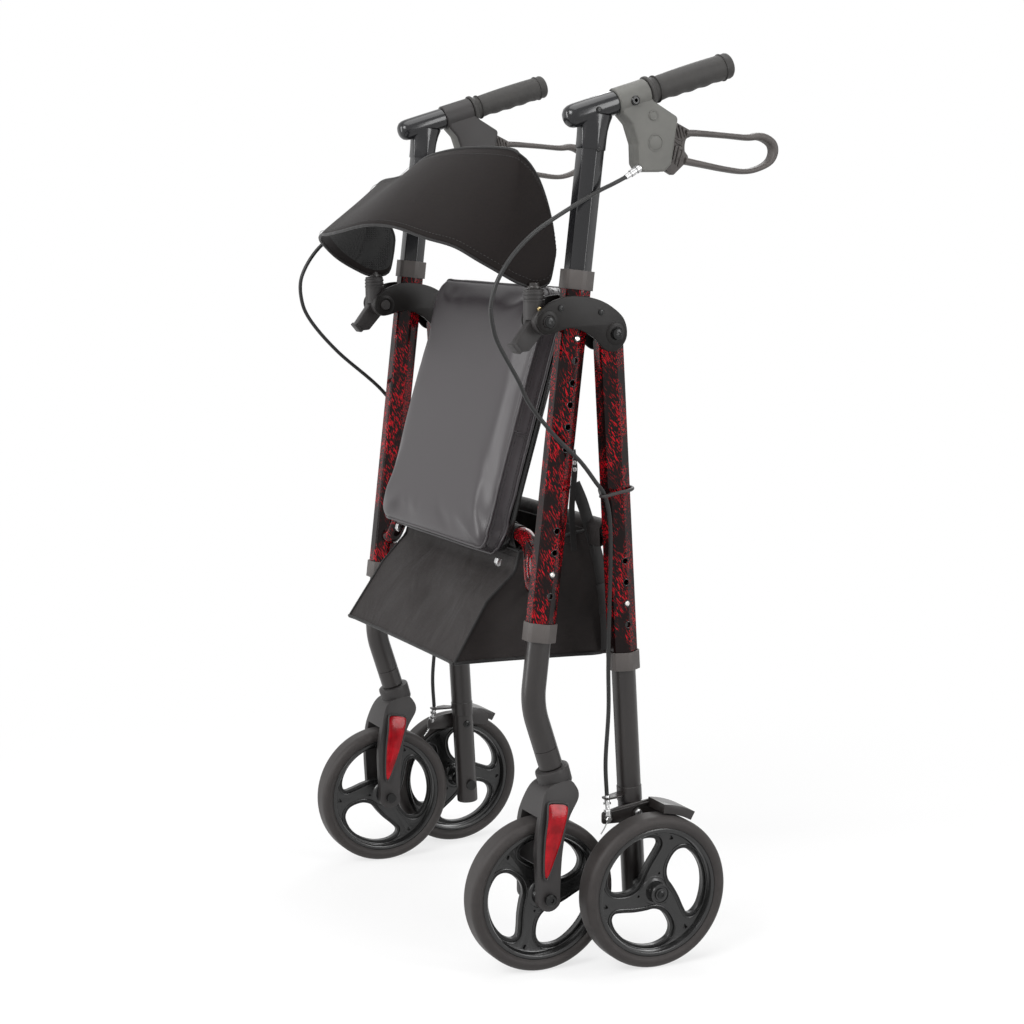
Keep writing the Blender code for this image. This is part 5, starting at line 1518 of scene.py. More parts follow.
def pad_shape(inset):
    half, low, high = SEAT_HALF - inset, SEAT_LOW + inset, SEAT_HIGH - inset
    back, front = PAD_BACK - inset * 0.4, PAD_FRONT + inset
    levels = [(shrink, back + step) for shrink, step in PAD_BACK_STEPS]
    levels += [(shrink, front + step) for shrink, step in PAD_FRONT_STEPS]
    return skin([rounded_rectangle(half - shrink, low + shrink, high - shrink, 0.024, y)
                 for shrink, y in levels])


CLOTH_FRAMES = 20


def inflate(piece, pressure, cap, keep_flat):
    """Blows a remeshed pad up with cloth, caps how far a point moves, and bakes the result into its mesh."""
    remesh = piece.modifiers.new("Even mesh", "REMESH")
    remesh.mode = "VOXEL"
    remesh.voxel_size = 0.0055
    shape = evaluated_shape(piece)
    piece.modifiers.clear()
    shape.to_mesh(piece.data)
    shape.free()
    rest = np.array([v.co for v in piece.data.vertices])
    held = [i for i, p in enumerate(rest) if keep_flat(p)]
    piece.vertex_groups.new(name="held").add(held, 1.0, "REPLACE")
    cloth = piece.modifiers.new("Cloth", "CLOTH")
    cloth.settings.quality = 6
    cloth.settings.use_pressure = True
    cloth.settings.uniform_pressure_force = pressure
    cloth.settings.vertex_group_mass = "held"
    cloth.settings.effector_weights.gravity = 0
    cloth.point_cache.frame_start = 1
    cloth.point_cache.frame_end = CLOTH_FRAMES
    scene = bpy.context.scene
    for step in range(1, CLOTH_FRAMES + 1):
        scene.frame_set(step)
    graph = bpy.context.evaluated_depsgraph_get()
    done = piece.evaluated_get(graph).to_mesh()
    blown = np.array([v.co for v in done.vertices])
    piece.evaluated_get(graph).to_mesh_clear()
    piece.modifiers.clear()
    piece.vertex_groups.clear()
    move = blown - rest
    far = np.linalg.norm(move, axis=1, keepdims=True)
    move *= np.minimum(1.0, cap / np.maximum(far, 1e-9))
    piece.data.vertices.foreach_set("co", (rest + move).ravel())
    piece.data.update()
    scene.frame_set(1)


def make_pad():
    """The pad swells from a smaller shape; seams and piping follow its surface."""
    piece = new_object("seat_cushion", mesh_of("seat_cushion", pad_shape(0.003)))
    inflate(piece, 4.0, 0.0065, lambda p: p[1] > PAD_BACK - 0.004)
    shape = bmesh.new()
    shape.from_mesh(piece.data)
    bpy.data.objects.remove(piece)
    for _ in range(3):
        bmesh.ops.smooth_vert(shape, verts=shape.verts, factor=0.5, use_axis_x=True, use_axis_y=True,
                              use_axis_z=True)
    pull_in_seams(shape)
    bmesh.ops.subdivide_edges(shape, edges=shape.edges[:], cuts=1, use_grid_fill=True, smooth=0.6)
    crease_bottom(shape)
    tree = BVHTree.FromBMesh(shape)
    matrix = seat_frame()
    moved(shape, matrix)
    cushion = finish_mesh("seat_cushion", shape, "vinyl", "seat", CLOTH_ANGLE)
    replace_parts(cushion, "seat_pad")
    for name, y, step in (("front", PAD_SEAMS[0], 0.0052), ("back", PAD_SEAMS[1], -0.0052)):
        outline = rounded_rectangle(SEAT_HALF + 0.004, SEAT_LOW - 0.004, SEAT_HIGH + 0.004, 0.028, y, 10)
        path = smooth_path(outline[::2], 0.004, closed=True)
        path = [on_surface(tree, p, 0.0002) for p in path]
        piping = ring_tube([matrix @ p for p in path], sizes().piping, 10)
        finish_mesh(f"seat_piping_{name}", piping, "vinyl", "seat")
        row = [matrix @ on_surface(tree, p + Vector((0, step, 0)), 0.0001) for p in path]
        stitches(f"seat_stitches_{name}", row, SEAT_THREAD, "seat", closed=True)
    make_side_seams(tree, matrix)


def make_side_seams(tree, matrix):
    """A piped seam with a row of stitches across the boxing on each side of the seat."""
    steps = 14
    for side_name, side in SIDES.items():
        path = []
        for k in range(steps + 1):
            y = PAD_FRONT + 0.011 + (PAD_BACK - PAD_FRONT - 0.02) * k / steps
            path.append(on_surface(tree, Vector((side * (SEAT_HALF + 0.004), y, SIDE_SEAM)), 0.0002))
        seam = tube([matrix @ p for p in path], 0.0011, 8)
        finish_mesh(f"seat_side_seam_{side_name}", seam, "vinyl", "seat")
        row = [matrix @ on_surface(tree, p + Vector((0, 0, -0.004)), 0.0001) for p in path]
        stitches(f"seat_side_stitches_{side_name}", row, SEAT_THREAD, "seat")


def on_surface(tree, point, proud):
    found, normal, _, _ = tree.find_nearest(point)
    return found + normal * proud


def pull_in_seams(shape):
    """Draws the cover in along the two seams of the boxing, as thread does."""
    for vert in shape.verts:
        x, y, z = vert.co
        edge = min(SEAT_HALF + 0.003 - abs(x), z - SEAT_LOW + 0.003, SEAT_HIGH + 0.003 - z)
        if edge > 0.02:
            continue
        for seam in PAD_SEAMS:
            share = math.exp(-((y - seam) / 0.0035) ** 2) * math.exp(-max(edge, 0) / 0.012)
            middle = Vector((x * 0.97, y, SEAT_LOW + 0.17 + (z - SEAT_LOW - 0.17) * 0.97))
            vert.co += (middle - vert.co).normalized() * 0.0012 * share


def crease_bottom(shape):
    """Shallow wrinkles where the cover is gathered at the corners and along the boxing."""
    for vert in shape.verts:
        x, y, z = vert.co
        corner = math.exp(-(((abs(x) - 0.15) / 0.035) ** 2 + ((z - 0.0) / 0.05) ** 2))
        side = math.exp(-((SEAT_HALF - abs(x)) / 0.01) ** 2)
        wave = math.sin(95 * z + 60 * abs(x) + 140 * y) + 0.6 * math.sin(210 * z - 90 * y + 40 * abs(x))
        rise = 0.00055 * wave * (corner + 0.55 * side)
        vert.co.y -= rise * 0.7
        vert.co.x += math.copysign(rise, x) * side


def make_seat_hinges():
    """Small bright tongues under the seat's lower edge."""
    matrix = seat_frame()
    for side_name, side in SIDES.items():
        x = side * 0.157
        outline = rounded_outline([(-0.024, -0.0395), (-0.0205, -0.043), (-0.018, -0.041),
                                   (-0.0185, -0.033), (-0.024, -0.033)], 0.001)
        tongue = bevelled(prism(outline, x - 0.004, x + 0.004, matrix), 0.0004)
        finish_mesh(f"seat_hinge_{side_name}", tongue, "steel", "seat")


# Brake arms and the small parts on the cables' ends

BRAKE_ARM_OUTLINE = (
    (-0.0465, -0.0095), (-0.018, -0.0105), (0.02, -0.007), (0.046, -0.0115), (0.046, 0.003),
    (0.03, 0.014), (0.017, 0.0145), (-0.025, 0.0095), (-0.0465, 0.0045),
)
BRAKE_DROP = 0.571
# The cable's adjusting barrel: place along the cable and radius
BARREL_PROFILE = (
    (-0.002, 0.001), (-0.002, 0.0046), (0.004, 0.0048), (0.0045, 0.0034), (0.007, 0.0034),
    (0.0072, 0.0043), (0.0125, 0.0043), (0.013, 0.0033), (0.02, 0.0031), (0.02, 0.0026),
    (0.0196, 0.001),
)
class ROLLATOR_OT_brake_arms(bpy.types.Operator):
    """Brake arms with their shoes, return springs, adjusters and bare wire ends"""

    bl_idname = "rollator.brake_arms"
    bl_label = "Brake arms and springs"

    def execute(self, context):
        return on_both_sides(make_brake_arm, make_wire_end, make_barrel)


def brake_pivot():
    y, z = FOLD_PIVOT
    return y + BRAKE_DROP * math.sin(REAR_LEAN), z - BRAKE_DROP * math.cos(REAR_LEAN)


def make_brake_arm(side_name, side):
    """The arm's plate with its folded rib and pivot head, and the shoe over the tyre."""
    y, z = brake_pivot()
    matrix = side_middle(side) @ Matrix.Translation((0, y, z)) @ Matrix.Diagonal((side, 1, 1, 1))
    plate = bevelled(prism(rounded_outline(BRAKE_ARM_OUTLINE, 0.0035), 0.0147, 0.0177), 0.0005)
    fold = rounded_outline([(-0.044, 0.002), (0.015, 0.0098), (0.015, 0.0122), (-0.044, 0.0045)], 0.0008)
    rib = bevelled(prism(fold, 0.0177, 0.0205), 0.0005)
    axle = (rear_tube_y(AXLE_HEIGHT) - y, AXLE_HEIGHT - z)
    shoe = prism([*arc(*axle, 0.0938, 84, 60, 8), *arc(*axle, 0.105, 60, 84, 8)], 0.0157, 0.0558)
    head = turned([(0.0177, 0.0001), (0.0177, 0.0062), (0.0206, 0.006), (0.0212, 0.0052), (0.0212, 0.0001)],
                  "X", 24)
    shape = merged([moved(s, matrix) for s in (plate, rib, bevelled(shoe, 0.0005), head)])
    body = f"brake_arm_{side_name}"
    piece = finish_mesh(f"brake_arm_plate_{side_name}", shape, "satin_black", body)
    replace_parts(piece, body)
    face = place(side * (HALF_SPACING + 0.0213), y, z)
    screws(f"brake_arm_screw_{side_name}", [(face, Vector((side, 0, 0)))], 0.0046, 0.0018, body, "steel")
    inner = place(side * (HALF_SPACING - LEG_RADIUS), y, z)
    screws(f"brake_pivot_end_{side_name}", [(inner, Vector((-side, 0, 0)))], 0.005, 0.002,
           f"rear_leg_{side_name}")


def coil(start, end, radius, turns, wire):
    """A round wire coiled about the line from start to end."""
    start, end = Vector(start), Vector(end)
    along = (end - start).normalized()
    side = along.cross(Vector((1, 0, 0))).normalized()
    up = along.cross(side)
    count = turns * 14
    path = []
    for i in range(count + 1):
        a = 2 * math.pi * turns * i / count
        path.append(start.lerp(end, i / count) + radius * (side * math.cos(a) + up * math.sin(a)))
    return tube(path, wire, 6)


def make_wire_end(side_name, side):
    """Sleeve stop, adjuster with its nut, return spring, bare wire and the pinch bolt on the arm."""
    leg, arm = f"rear_leg_{side_name}", f"brake_arm_{side_name}"
    y, z = brake_pivot()
    stop = place(side * 0.261, 0.0835, 0.2018)
    pinch = place(side * (HALF_SPACING + 0.0192), y - 0.04, z - 0.003)
    axis = (pinch - stop).normalized()
    barrel = turned([(-0.001, 0.0011), (-0.001, 0.0031), (0.006, 0.0033), (0.0064, 0.0024),
                     (0.015, 0.0024), (0.015, 0.0011)], "Z", 20, aimed(stop, axis))
    nut = turned([(0.0066, 0.0025), (0.0066, 0.0046), (0.0092, 0.0046), (0.0092, 0.0025)], "Z", 6,
                 aimed(stop, axis))
    finish_mesh(f"brake_adjuster_{side_name}", merged([barrel, nut]), "steel", leg)
    spring = coil(stop + axis * 0.0155, pinch + Vector((0, 0, 0.003)), 0.004, 9, 0.00055)
    tail = [stop, stop.lerp(pinch, 0.5), pinch, pinch + Vector((side * 0.001, -0.004, -0.009)),
            pinch + Vector((side * 0.002, -0.01, -0.017))]
    for name, shape in (("spring", spring), ("wire", tube(smooth_path(tail, 0.002), 0.0008, 8))):
        piece = finish_mesh(f"brake_{name}_{side_name}", shape, "steel", None)
        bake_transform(piece)
    bolt = turned([(-0.003, 0.0001), (-0.003, 0.004), (0.004, 0.004), (0.0046, 0.0034),
                   (0.0046, 0.0001)], "Z", 6, aimed(pinch, Vector((side, 0, 0))))
    finish_mesh(f"brake_pinch_bolt_{side_name}", bolt, "steel", arm)


def aimed(point, direction):
    """Matrix that puts Z along a direction at a point."""
    return Matrix.Translation(point) @ direction.to_track_quat("Z", "Y").to_matrix().to_4x4()


def make_barrel(side_name, side):
    """Bright adjusting barrel where the cable leaves the brake housing."""
    start = place(side * 0.256, 0.1224, 0.9379)
    end = place(side * 0.256, 0.108, 0.929)
    barrel = turned(BARREL_PROFILE, "Z", 24, aimed(start, (end - start).normalized()))
    finish_mesh(f"cable_barrel_{side_name}", barrel, "steel", f"handle_{side_name}")


# Brake cables

CABLE_ROUTES = {
    "left": (
        (0.256, 0.1224, 0.9379), (0.256, 0.108, 0.929), (0.259, 0.088, 0.92), (0.265, 0.067, 0.912),
        (0.274, 0.032, 0.896), (0.28, 0.005, 0.8825), (0.285, -0.021, 0.868), (0.288, -0.0435, 0.85),
        (0.29, -0.0615, 0.83), (0.29, -0.074, 0.808), (0.29, -0.08, 0.784), (0.289, -0.077, 0.762),
        (0.287, -0.069, 0.7415), (0.284, -0.044, 0.7015), (0.282, -0.028, 0.673), (0.28, 0.0045, 0.636),
        (0.278, 0.037, 0.606), (0.276, 0.058, 0.581), (0.2735, 0.072, 0.563), (0.269, 0.081, 0.534),
        (0.264, 0.085, 0.485), (0.26, 0.0862, 0.437), (0.2585, 0.0862, 0.395), (0.2575, 0.0862, 0.355),
        (0.259, 0.086, 0.305), (0.261, 0.0815, 0.245), (0.261, 0.0835, 0.2018),
    ),
    "right": (
        (0.256, 0.1224, 0.9379), (0.256, 0.108, 0.9295), (0.265, 0.085, 0.915), (0.276, 0.035, 0.893),
        (0.284, -0.02, 0.872), (0.288, -0.066, 0.843), (0.288, -0.093, 0.805), (0.288, -0.095, 0.772),
        (0.287, -0.082, 0.742), (0.284, -0.045, 0.7), (0.28, 0.015, 0.648), (0.2765, 0.055, 0.596),
        (0.2735, 0.0765, 0.568), (0.269, 0.08, 0.54), (0.264, 0.081, 0.5), (0.26, 0.083, 0.44),
        (0.2585, 0.085, 0.39), (0.2575, 0.086, 0.35), (0.259, 0.085, 0.3), (0.261, 0.0815, 0.245),
        (0.261, 0.0835, 0.2018),
    ),
}
CABLE_BREAKS = {
    "left": ((0.29, -0.08, 0.784), (0.269, 0.081, 0.534), (0.259, 0.086, 0.305)),
    "right": ((0.288, -0.095, 0.772), (0.269, 0.08, 0.54), (0.259, 0.085, 0.3)),
}
CABLE_DIAMETER = 0.005


class ROLLATOR_OT_cables(bpy.types.Operator):
    """Brake cables from the handles to the rear legs, and the clips that hold them"""

    bl_idname = "rollator.cables"
    bl_label = "Brake cables"

    def execute(self, context):
        return on_both_sides(make_cable, make_clip)


def make_cable(side_name, side):
    """Four runs, cut at the three breaks along the route."""
    path = smooth_path([place(side * x, y, z) for x, y, z in CABLE_ROUTES[side_name]], 0.005)
    breaks = [place(side * x, y, z) for x, y, z in CABLE_BREAKS[side_name]]
    cuts = [min(range(len(path)), key=lambda i: (path[i] - spot).length) for spot in breaks]
    handle, leg = f"handle_{side_name}", f"rear_leg_{side_name}"
    runs = (("upper", handle, "frame"), ("middle", "frame", "rear_frame"), ("lower", "rear_frame", None),
            ("end", "rear_frame", leg))
    for (label, first, second), low, high in zip(runs, [0, *cuts], [*cuts, len(path) - 1]):
        points = path[low:high + 1]
        run = finish_mesh(f"brake_cable_{label}_{side_name}", tube(points, CABLE_DIAMETER / 2, 14), "cable",
                          None if second else first)
        if second:
            tuple(points[0])
            tuple(points[-1])
            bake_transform(run)
        tuple(points[0])
        path_length(points)
        [tuple(p) for p in points]
        if label == "upper":
            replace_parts(run, f"brake_cable_{side_name}")


def make_clip(side_name, side):
    """A moulded ring round the rear tube that also holds the cable against it."""
    spot = Vector(next(p for p in CABLE_ROUTES[side_name] if 0.555 < p[2] < 0.57))
    z = spot.z + 0.003
    tube_y = rear_tube_y(z)
    outline = [*arc(HALF_SPACING, tube_y, 0.0205, -10, 215, 15), *arc(spot.x, spot.y, 0.0052, 205, 330, 5)]
    path = smooth_path([place(side * x, y, z + (y - tube_y) * 0.1) for x, y in outline], 0.004, closed=True)
    ring = tube([*path, path[0]], 0.0021, 10)
    finish_mesh(f"cable_clip_{side_name}", ring, "plastic", "rear_frame")


# Back band

BAND_STATIONS = 96
BAND_ACROSS = 22
BAND_THICKNESS = 0.0105
CLOTH_THREAD = 0.00035


class ROLLATOR_OT_back_band(bpy.types.Operator):
    """Padded back band with piped edges, a ribbed lining inside and its necks in the sockets"""

    bl_idname = "rollator.back_band"
    bl_label = "Back band"

    def execute(self, context):
        make_band()
        make_band_edges()
        return {"FINISHED"}


# Heights of the band's two edges at shares of the way round, and its rounded ends in side view
BAND_LOW_Z = (
    (0, 0.8073), (0.027, 0.812), (0.11, 0.8326), (0.172, 0.8492), (0.24, 0.8587), (0.302, 0.869),
    (0.344, 0.8725), (0.391, 0.8725), (0.442, 0.869), (0.486, 0.8653), (0.576, 0.8605), (0.65, 0.859),
    (0.72, 0.853), (0.8, 0.843), (0.9, 0.824), (1, 0.806),
)
BAND_HIGH_Z = (
    (0, 0.9538), (0.1, 0.9585), (0.2, 0.961), (0.3, 0.961), (0.394, 0.955), (0.466, 0.9464),
    (0.509, 0.94), (0.571, 0.9335), (0.65, 0.93), (0.75, 0.928), (0.85, 0.922), (0.93, 0.912),
    (1, 0.9),
)
BAND_END_Z = 0.852
BAND_REAR_LOW = ((-0.0077, 0.8025), (0.006, 0.804), (0.0138, 0.809), (0.0178, 0.8226), (0.0203, 0.836))
BAND_REAR_HIGH = ((-0.0117, 0.9439), (0.0009, 0.9261), (0.011, 0.9015), (0.0186, 0.8734), (0.0213, 0.852))


def eased(table):
    """A smooth function through a table of (value, result) pairs."""
    fine = smooth_path([(a, b, 0) for a, b in table], 0.004)
    values, results = [p.x for p in fine], [p.y for p in fine]
    return lambda value: float(np.interp(value, values, results))


def band_stations():
    """(low edge, high edge, inward) round the band, from the left rear end to the right one."""
    low_z, high_z = eased(BAND_LOW_Z), eased(BAND_HIGH_Z)
    found = []
    for k in range(BAND_STATIONS + 1):
        share = k / BAND_STATIONS
        x, reach = math.cos(math.pi * share), math.sin(math.pi * share)
        twist = smoothstep((share - 0.36) / 0.26)
        low = place(0.249 * x, -0.0215 - 0.136 * reach + 0.008 * twist * reach, low_z(share))
        high = place(0.246 * x, -0.0241 - 0.046 * reach ** 2 + 0.026 * twist * reach ** 0.5, high_z(share))
        found.append((low, high, Vector((-x, reach, 0.0)).normalized()))
    ends = []
    for (low, high, inward), side in ((found[0], 1), (found[-1], -1)):
        drop = (high.z - BAND_END_Z) / (BAND_HIGH_Z[0][1] - BAND_END_Z)
        low_knots = [low, *(place(side * 0.249, y, z) for y, z in BAND_REAR_LOW)]
        high_knots = [high, *(place(side * 0.247, y, BAND_END_Z + (z - BAND_END_Z) * drop)
                              for y, z in BAND_REAR_HIGH)]
        edges = [smooth_path(knots, 0.004) for knots in (low_knots, high_knots)]
        shares = [i / 18 for i in range(1, 19)]
        ends.append([(*(edge[round(t * (len(edge) - 1))] for edge in edges), inward) for t in shares])
    return [*reversed(ends[0]), *found, *ends[1]]


def band_loop(low, high, inward, thickness):
    """Outline of the band across its strip: a flat oval that thins at both edges."""
    loop = []
    for i in range(BAND_ACROSS + 1):
        u = i / BAND_ACROSS
        swell = (4 * u * (1 - u)) ** 0.35
        loop.append(low.lerp(high, u) - inward * 0.0008 * swell + inward * thickness * 0.5 * (1 - swell))
    for i in range(1, BAND_ACROSS):
        u = 1 - i / BAND_ACROSS
        swell = (4 * u * (1 - u)) ** 0.35
        ripple = 0.0003 * math.sin(u * 150)
        loop.append(low.lerp(high, u) + inward * (thickness * (0.5 + 0.5 * swell) + ripple * swell))
    return loop


def make_band():
    """The padded strip, with the knit outside and the mesh lining inside."""
    stations = band_stations()
    loops = []
    for i, (low, high, inward) in enumerate(stations):
        edge = min(1.0, min(i, len(stations) - 1 - i) / 14)
        loops.append(band_loop(low, high, inward, BAND_THICKNESS * (0.4 + 0.6 * edge ** 0.5)))
    cover = finish_mesh("back_band_cover", skin(loops), "knit", "back_band", CLOTH_ANGLE)
    cover.data.materials.append(FINISH["lining"])
    around = 2 * BAND_ACROSS
    for face in cover.data.polygons[2:]:
        if BAND_ACROSS + 2 <= (face.index - 2) % around <= around - 3:
            face.material_index = 1
    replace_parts(cover, "back_band")


def make_band_edges():
    """Piping round the whole outline, a row of stitches inside it and the necks that stand in the sockets."""
    stations = band_stations()
    low_path = [low + inward * 0.005 for low, high, inward in stations]
    high_path = [high + inward * 0.005 for low, high, inward in stations]
    path = smooth_path([*low_path, *reversed(high_path)], 0.005, closed=True)
    piping = tube([*path, path[0]], 0.0017, 10)
    finish_mesh("back_band_piping", piping, "binding", "back_band")
    rows = {"low": [], "high": []}
    for low, high, inward in stations:
        span = (high - low).normalized() * 0.0085
        rows["low"].append(low + span - inward * 0.0012)
        rows["high"].append(high - span - inward * 0.0012)
    for label, row in rows.items():
        stitches(f"back_band_stitches_{label}", row, CLOTH_THREAD, "back_band")
    for side_name, side in SIDES.items():
        foot = Matrix.Translation(place(side * (HALF_SPACING - 0.0015), -0.0066, 0.0))
        rod = turned([(0.7835, 0.0055), (0.784, 0.0062), (0.8085, 0.0062), (0.809, 0.0055)], "Z", 28, foot)
        ring = turned([(0.8022, 0.0062), (0.8022, 0.0084), (0.8042, 0.0086), (0.8052, 0.008),
                       (0.8052, 0.0062)], "Z", 28, foot, closed=True)
        finish_mesh(f"band_neck_{side_name}", merged([rod, ring]), "satin_black", "back_band")


# Bag

BAG_LEVELS = (
    # Height, front place, half width in front, rear place, half width at the rear
    (0.489, 0.013, 0.168, 0.0895, 0.198),
    (0.464, 0.006, 0.17, 0.098, 0.198),
    (0.43, -0.029, 0.166, 0.106, 0.196),
    (0.359, -0.075, 0.172, 0.119, 0.19),
)
BAG_CLOTH = 0.0016
BAG_REAR_RISE = 0.024
BAG_LOW = BAG_LEVELS[-1][0]
BAG_HIGH = BAG_LEVELS[0][0]
# How far each side is drawn in at its middle, and its number of steps: near, rear, far and front side
BAG_SIDES = ((0.012, 26), (0.007, 44), (0.012, 26), (0.0045, 44))


class ROLLATOR_OT_bag(bpy.types.Operator):
    """Nylon bag hung between the cross tubes, with its hems, piping, straps and blank tag"""

    bl_idname = "rollator.bag"
    bl_label = "Bag"

    def execute(self, context):
        make_bag()
        make_bag_piping()
        make_sleeves()
        make_straps()
        return {"FINISHED"}


def blend_bag(piece):
    """Bakes a piece of the bag's placement into its mesh."""
    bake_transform(piece)


def bag_level(height):
    heights = [row[0] for row in reversed(BAG_LEVELS)]
    return [float(np.interp(height, heights, [row[k] for row in reversed(BAG_LEVELS)])) for k in range(1, 5)]


def bag_corners(height, inset):
    front, front_half, rear, rear_half = bag_level(height)
    front += inset
    rear -= inset
    return [(front_half - inset, front), (rear_half - inset, rear), (-rear_half + inset, rear),
            (-front_half + inset, front)]


def bag_loop(height, inset):
    """One level of the bag: four sides drawn in between the corners, with soft folds."""
    share = (height - BAG_LOW) / (BAG_HIGH - BAG_LOW)
    slack = math.sin(math.pi * min(max(share, 0.0), 1.0))
    corners = [Vector((x, y, 0)) for x, y in bag_corners(height, inset)]
    loop = []
    for i, (depth, steps) in enumerate(BAG_SIDES):
        run = corners[(i + 1) % 4] - corners[i]
        inward = Vector((-run.y, run.x, 0)).normalized()
        for k in range(steps):
            t = k / steps
            bow = math.sin(math.pi * t)
            crease = 0.003 * math.sin(9 * t + 7.5 * share + 4 * i) * bow * slack
            crease += 0.001 * math.sin(26 * t - 13 * share + 2 * i) * bow * slack
            point = corners[i] + run * t + inward * (depth * bow * (0.25 + 0.75 * slack) + crease)
            rise = BAG_REAR_RISE * smoothstep((point.y - 0.013) / 0.077) * max(share, 0.0) ** 2
            loop.append(place(point.x, point.y, height + rise))
    return loop


def bag_floor(inset, lift):
    """Loops that close the bottom, from the walls to the middle, with a slight sag."""
    rim = bag_loop(BAG_LOW, inset)
    middle = sum(rim, Vector()) / len(rim)
    loops = []
    for share in (0.995, 0.985, 0.96, 0.9, 0.8, 0.65, 0.5, 0.35, 0.2, 0.08):
        drop = 0.0045 * (1 - share ** 3) + 0.0012 * math.sin(math.pi * min(1.0, (1 - share) * 14))
        loops.append([middle + (p - middle) * share + Vector((0, 0, lift - drop)) for p in rim])
    return loops


def make_bag():
    """The bag's walls, its mouth and its floor, with the cloth's thickness."""
    heights = [BAG_LOW + (BAG_HIGH - BAG_LOW) * k / 26 for k in range(27)]
    outer = [bag_loop(height, 0.0) for height in heights]
    inner = [bag_loop(height, BAG_CLOTH) for height in reversed(heights)]
    inner[-1] = [p + Vector((0, 0, BAG_CLOTH)) for p in inner[-1]]
    shape = skin([*reversed(bag_floor(0.0, 0.0)), *outer, *inner, *bag_floor(BAG_CLOTH, BAG_CLOTH)])
    bag = finish_mesh("hanging_bag", shape, "nylon", None, math.radians(75))
    blend_bag(bag)
    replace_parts(bag, "bag")


def make_bag_piping():
    """Piped bottom edge and corner seams, and the hem round the mouth."""
    parts = []
    for height, radius in ((BAG_LOW + 0.0006, 0.0021), (BAG_HIGH - 0.001, 0.0019)):
        path = smooth_path(bag_loop(height, -0.0004)[::3], 0.005, closed=True)
        parts.append(tube([*path, path[0]], radius, 8))
    for corner in range(4):
        path = []
        for k in range(25):
            height = 0.3595 + 0.128 * k / 24
            x, y = bag_corners(height, -0.0003)[corner]
            share = (height - BAG_LOW) / (BAG_HIGH - BAG_LOW)
            path.append(place(x, y, height + (BAG_REAR_RISE * share ** 2 if corner in (1, 2) else 0.0)))
        parts.append(tube(path, 0.0017, 8))
    blend_bag(finish_mesh("bag_piping", merged(parts), "binding", None))
    path = smooth_path(bag_loop(BAG_HIGH - 0.0095, -0.0006)[::3], 0.006, closed=True)
    blend_bag(stitches("bag_mouth_stitches", path, CLOTH_THREAD, None, closed=True))


def wrapped_cloth(centre, radius, low_x, high_x, tail, thickness=0.0012):
    """Cloth round a cross tube whose two ends meet at a seam below it: tail is that seam's place."""
    y, z = centre
    towards = math.degrees(math.atan2(tail[1] - z, tail[0] - y))
    outer = arc(y, z, radius, towards - 70, towards - 290, 30)
    inner = arc(y, z, radius - thickness, towards - 290, towards - 70, 30)
    seam = Vector((tail[0] - y, tail[1] - z)).normalized() * thickness
    outline = [tail, *outer, (tail[0] + seam.x * 0.4, tail[1] + seam.y * 0.4),
               (tail[0] - seam.x, tail[1] - seam.y), *inner]
    loops = []
    steps = 24
    for i in range(steps + 1):
        x = low_x + (high_x - low_x) * i / steps
        ripple = 1 + 0.012 * math.sin(9 * i) * math.sin(math.pi * i / steps)
        loops.append([place(x, y + (a - y) * ripple, z + (b - z) * ripple) for a, b in outline])
    return skin(loops)


def make_sleeves():
    """Sleeves sewn into the bag's mouth: one long one at the rear, three short ones in front."""
    bar = (rear_tube_y(CROSSBAR_HEIGHT), CROSSBAR_HEIGHT)
    rear = wrapped_cloth(bar, 0.0128, -0.2265, 0.2265, (0.0905, 0.496))
    finish_mesh("bag_rear_sleeve", rear, "nylon", "rear_frame", CLOTH_ANGLE)
    fronts = [wrapped_cloth((0.02, 0.505), 0.0118, low, high, (0.014, 0.4865))
              for low, high in ((-0.158, -0.129), (-0.101, 0.101), (0.129, 0.158))]
    finish_mesh("bag_front_sleeves", merged(fronts), "nylon", "frame", CLOTH_ANGLE)


def ribbon(points, width, thickness):
    """Webbing in a plane across X, along these points."""
    path = smooth_path(points, 0.004)
    loops = []
    for i, point in enumerate(path):
        along = run_at(path, i)
        side = Vector((0, -along.z, along.y)).normalized() * width / 2
        out = Vector((thickness / 2, 0, 0))
        loops.append([place(*(point + a * side + b * out)) for a, b in RIBBON_SECTION])
    return skin(loops)


RIBBON_SECTION = ((-1, -0.6), (-0.94, -1), (0.94, -1), (1, -0.6), (1, 0.6), (0.94, 1), (-0.94, 1), (-1, 0.6))
CORNER_STRAP = (
    (0.19, 0.0745, 0.568), (0.1925, 0.085, 0.542), (0.1975, 0.096, 0.5), (0.201, 0.106, 0.456),
    (0.199, 0.113, 0.405), (0.193, 0.1175, 0.364),
)
THIN_STRAP = (
    (0.19, 0.072, 0.6085), (0.1905, 0.0745, 0.585), (0.1915, 0.0715, 0.556), (0.1925, 0.07, 0.53),
    (0.195, 0.072, 0.488),
)
STRAP_RIVETS = ((0.1912, 0.0738, 0.593), (0.1912, 0.0742, 0.585), (0.1912, 0.0706, 0.54))
TAG = ((0.204, 0.1035, 0.447), (0.2055, 0.1055, 0.437), (0.205, 0.1075, 0.417), (0.2035, 0.1085, 0.412))


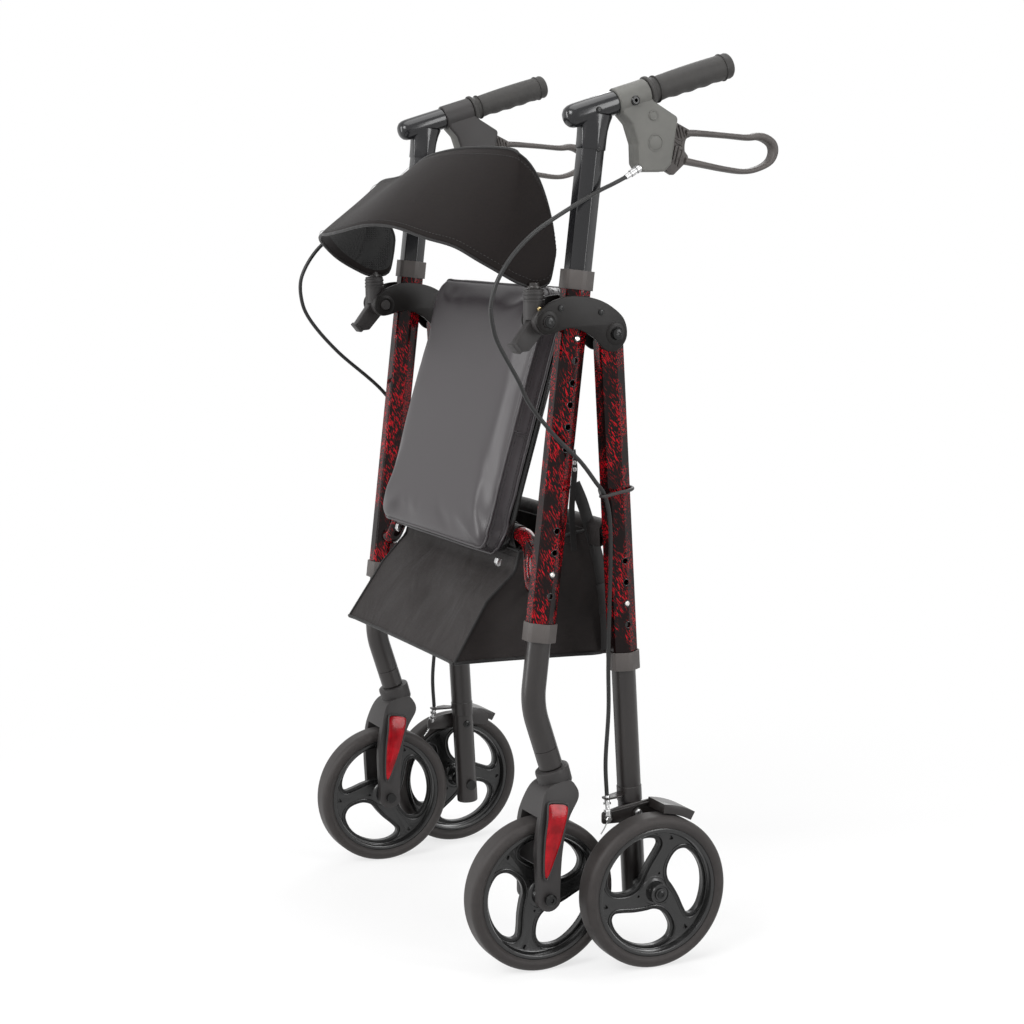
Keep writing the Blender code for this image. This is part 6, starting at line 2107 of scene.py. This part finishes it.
def make_straps():
    """The webbing at the rear corners, the thin riveted strap and a plain tag."""
    for side_name, side in SIDES.items():
        points = [(side * x, y, z) for x, y, z in CORNER_STRAP]
        make_strap(f"bag_corner_strap_{side_name}", points, 0.015, 0.0014)
    make_strap("bag_thin_strap", THIN_STRAP, 0.0075, 0.0013)
    rivets = [(place(*spot), Vector((1, 0, 0))) for spot in STRAP_RIVETS]
    screws("bag_strap_rivets", rivets, 0.0026, 0.0012, "rear_frame", "steel")
    make_strap("bag_blank_tag", TAG, 0.013, 0.0008)


def make_strap(name, points, width, thickness):
    finish_mesh(name, ribbon(points, width, thickness), "binding", "rear_frame")


# Registration


class VIEW3D_PT_rollator(bpy.types.Panel):
    """Lists the colours, the sizes and the operators that build the rollator"""

    bl_label = "Rollator"
    bl_idname = "VIEW3D_PT_rollator"
    bl_space_type = "VIEW_3D"
    bl_region_type = "UI"
    bl_category = "Rollator"

    def draw(self, context):
        layout = self.layout
        for group in (context.scene.rollator_sizes, context.scene.rollator_colours):
            box = layout.box()
            for name in group.__annotations__:
                box.prop(group, name)
        for operator in OPERATORS:
            layout.operator(operator.bl_idname)


OPERATORS = (
    ROLLATOR_OT_stage, ROLLATOR_OT_cables, ROLLATOR_OT_tubes, ROLLATOR_OT_posts, ROLLATOR_OT_legs,
    ROLLATOR_OT_brakes, ROLLATOR_OT_hinges, ROLLATOR_OT_forks, ROLLATOR_OT_wheels, ROLLATOR_OT_brake_arms,
    ROLLATOR_OT_back_band, ROLLATOR_OT_seat, ROLLATOR_OT_bag,
)
CLASSES = (RollatorColours, RollatorSizes, *OPERATORS, VIEW3D_PT_rollator)


def register():
    for kind in CLASSES:
        bpy.utils.register_class(kind)
    bpy.types.Scene.rollator_colours = PointerProperty(type=RollatorColours)
    bpy.types.Scene.rollator_sizes = PointerProperty(type=RollatorSizes)


def unregister():
    del bpy.types.Scene.rollator_sizes
    del bpy.types.Scene.rollator_colours
    for kind in reversed(CLASSES):
        bpy.utils.unregister_class(kind)


def main():
    register()
    make_materials()
    for operator in OPERATORS:
        family, name = operator.bl_idname.split(".")
        if getattr(getattr(bpy.ops, family), name)() != {"FINISHED"}:
            raise RuntimeError(f"{operator.bl_idname} did not finish")


if __name__ == "__main__":
    main()
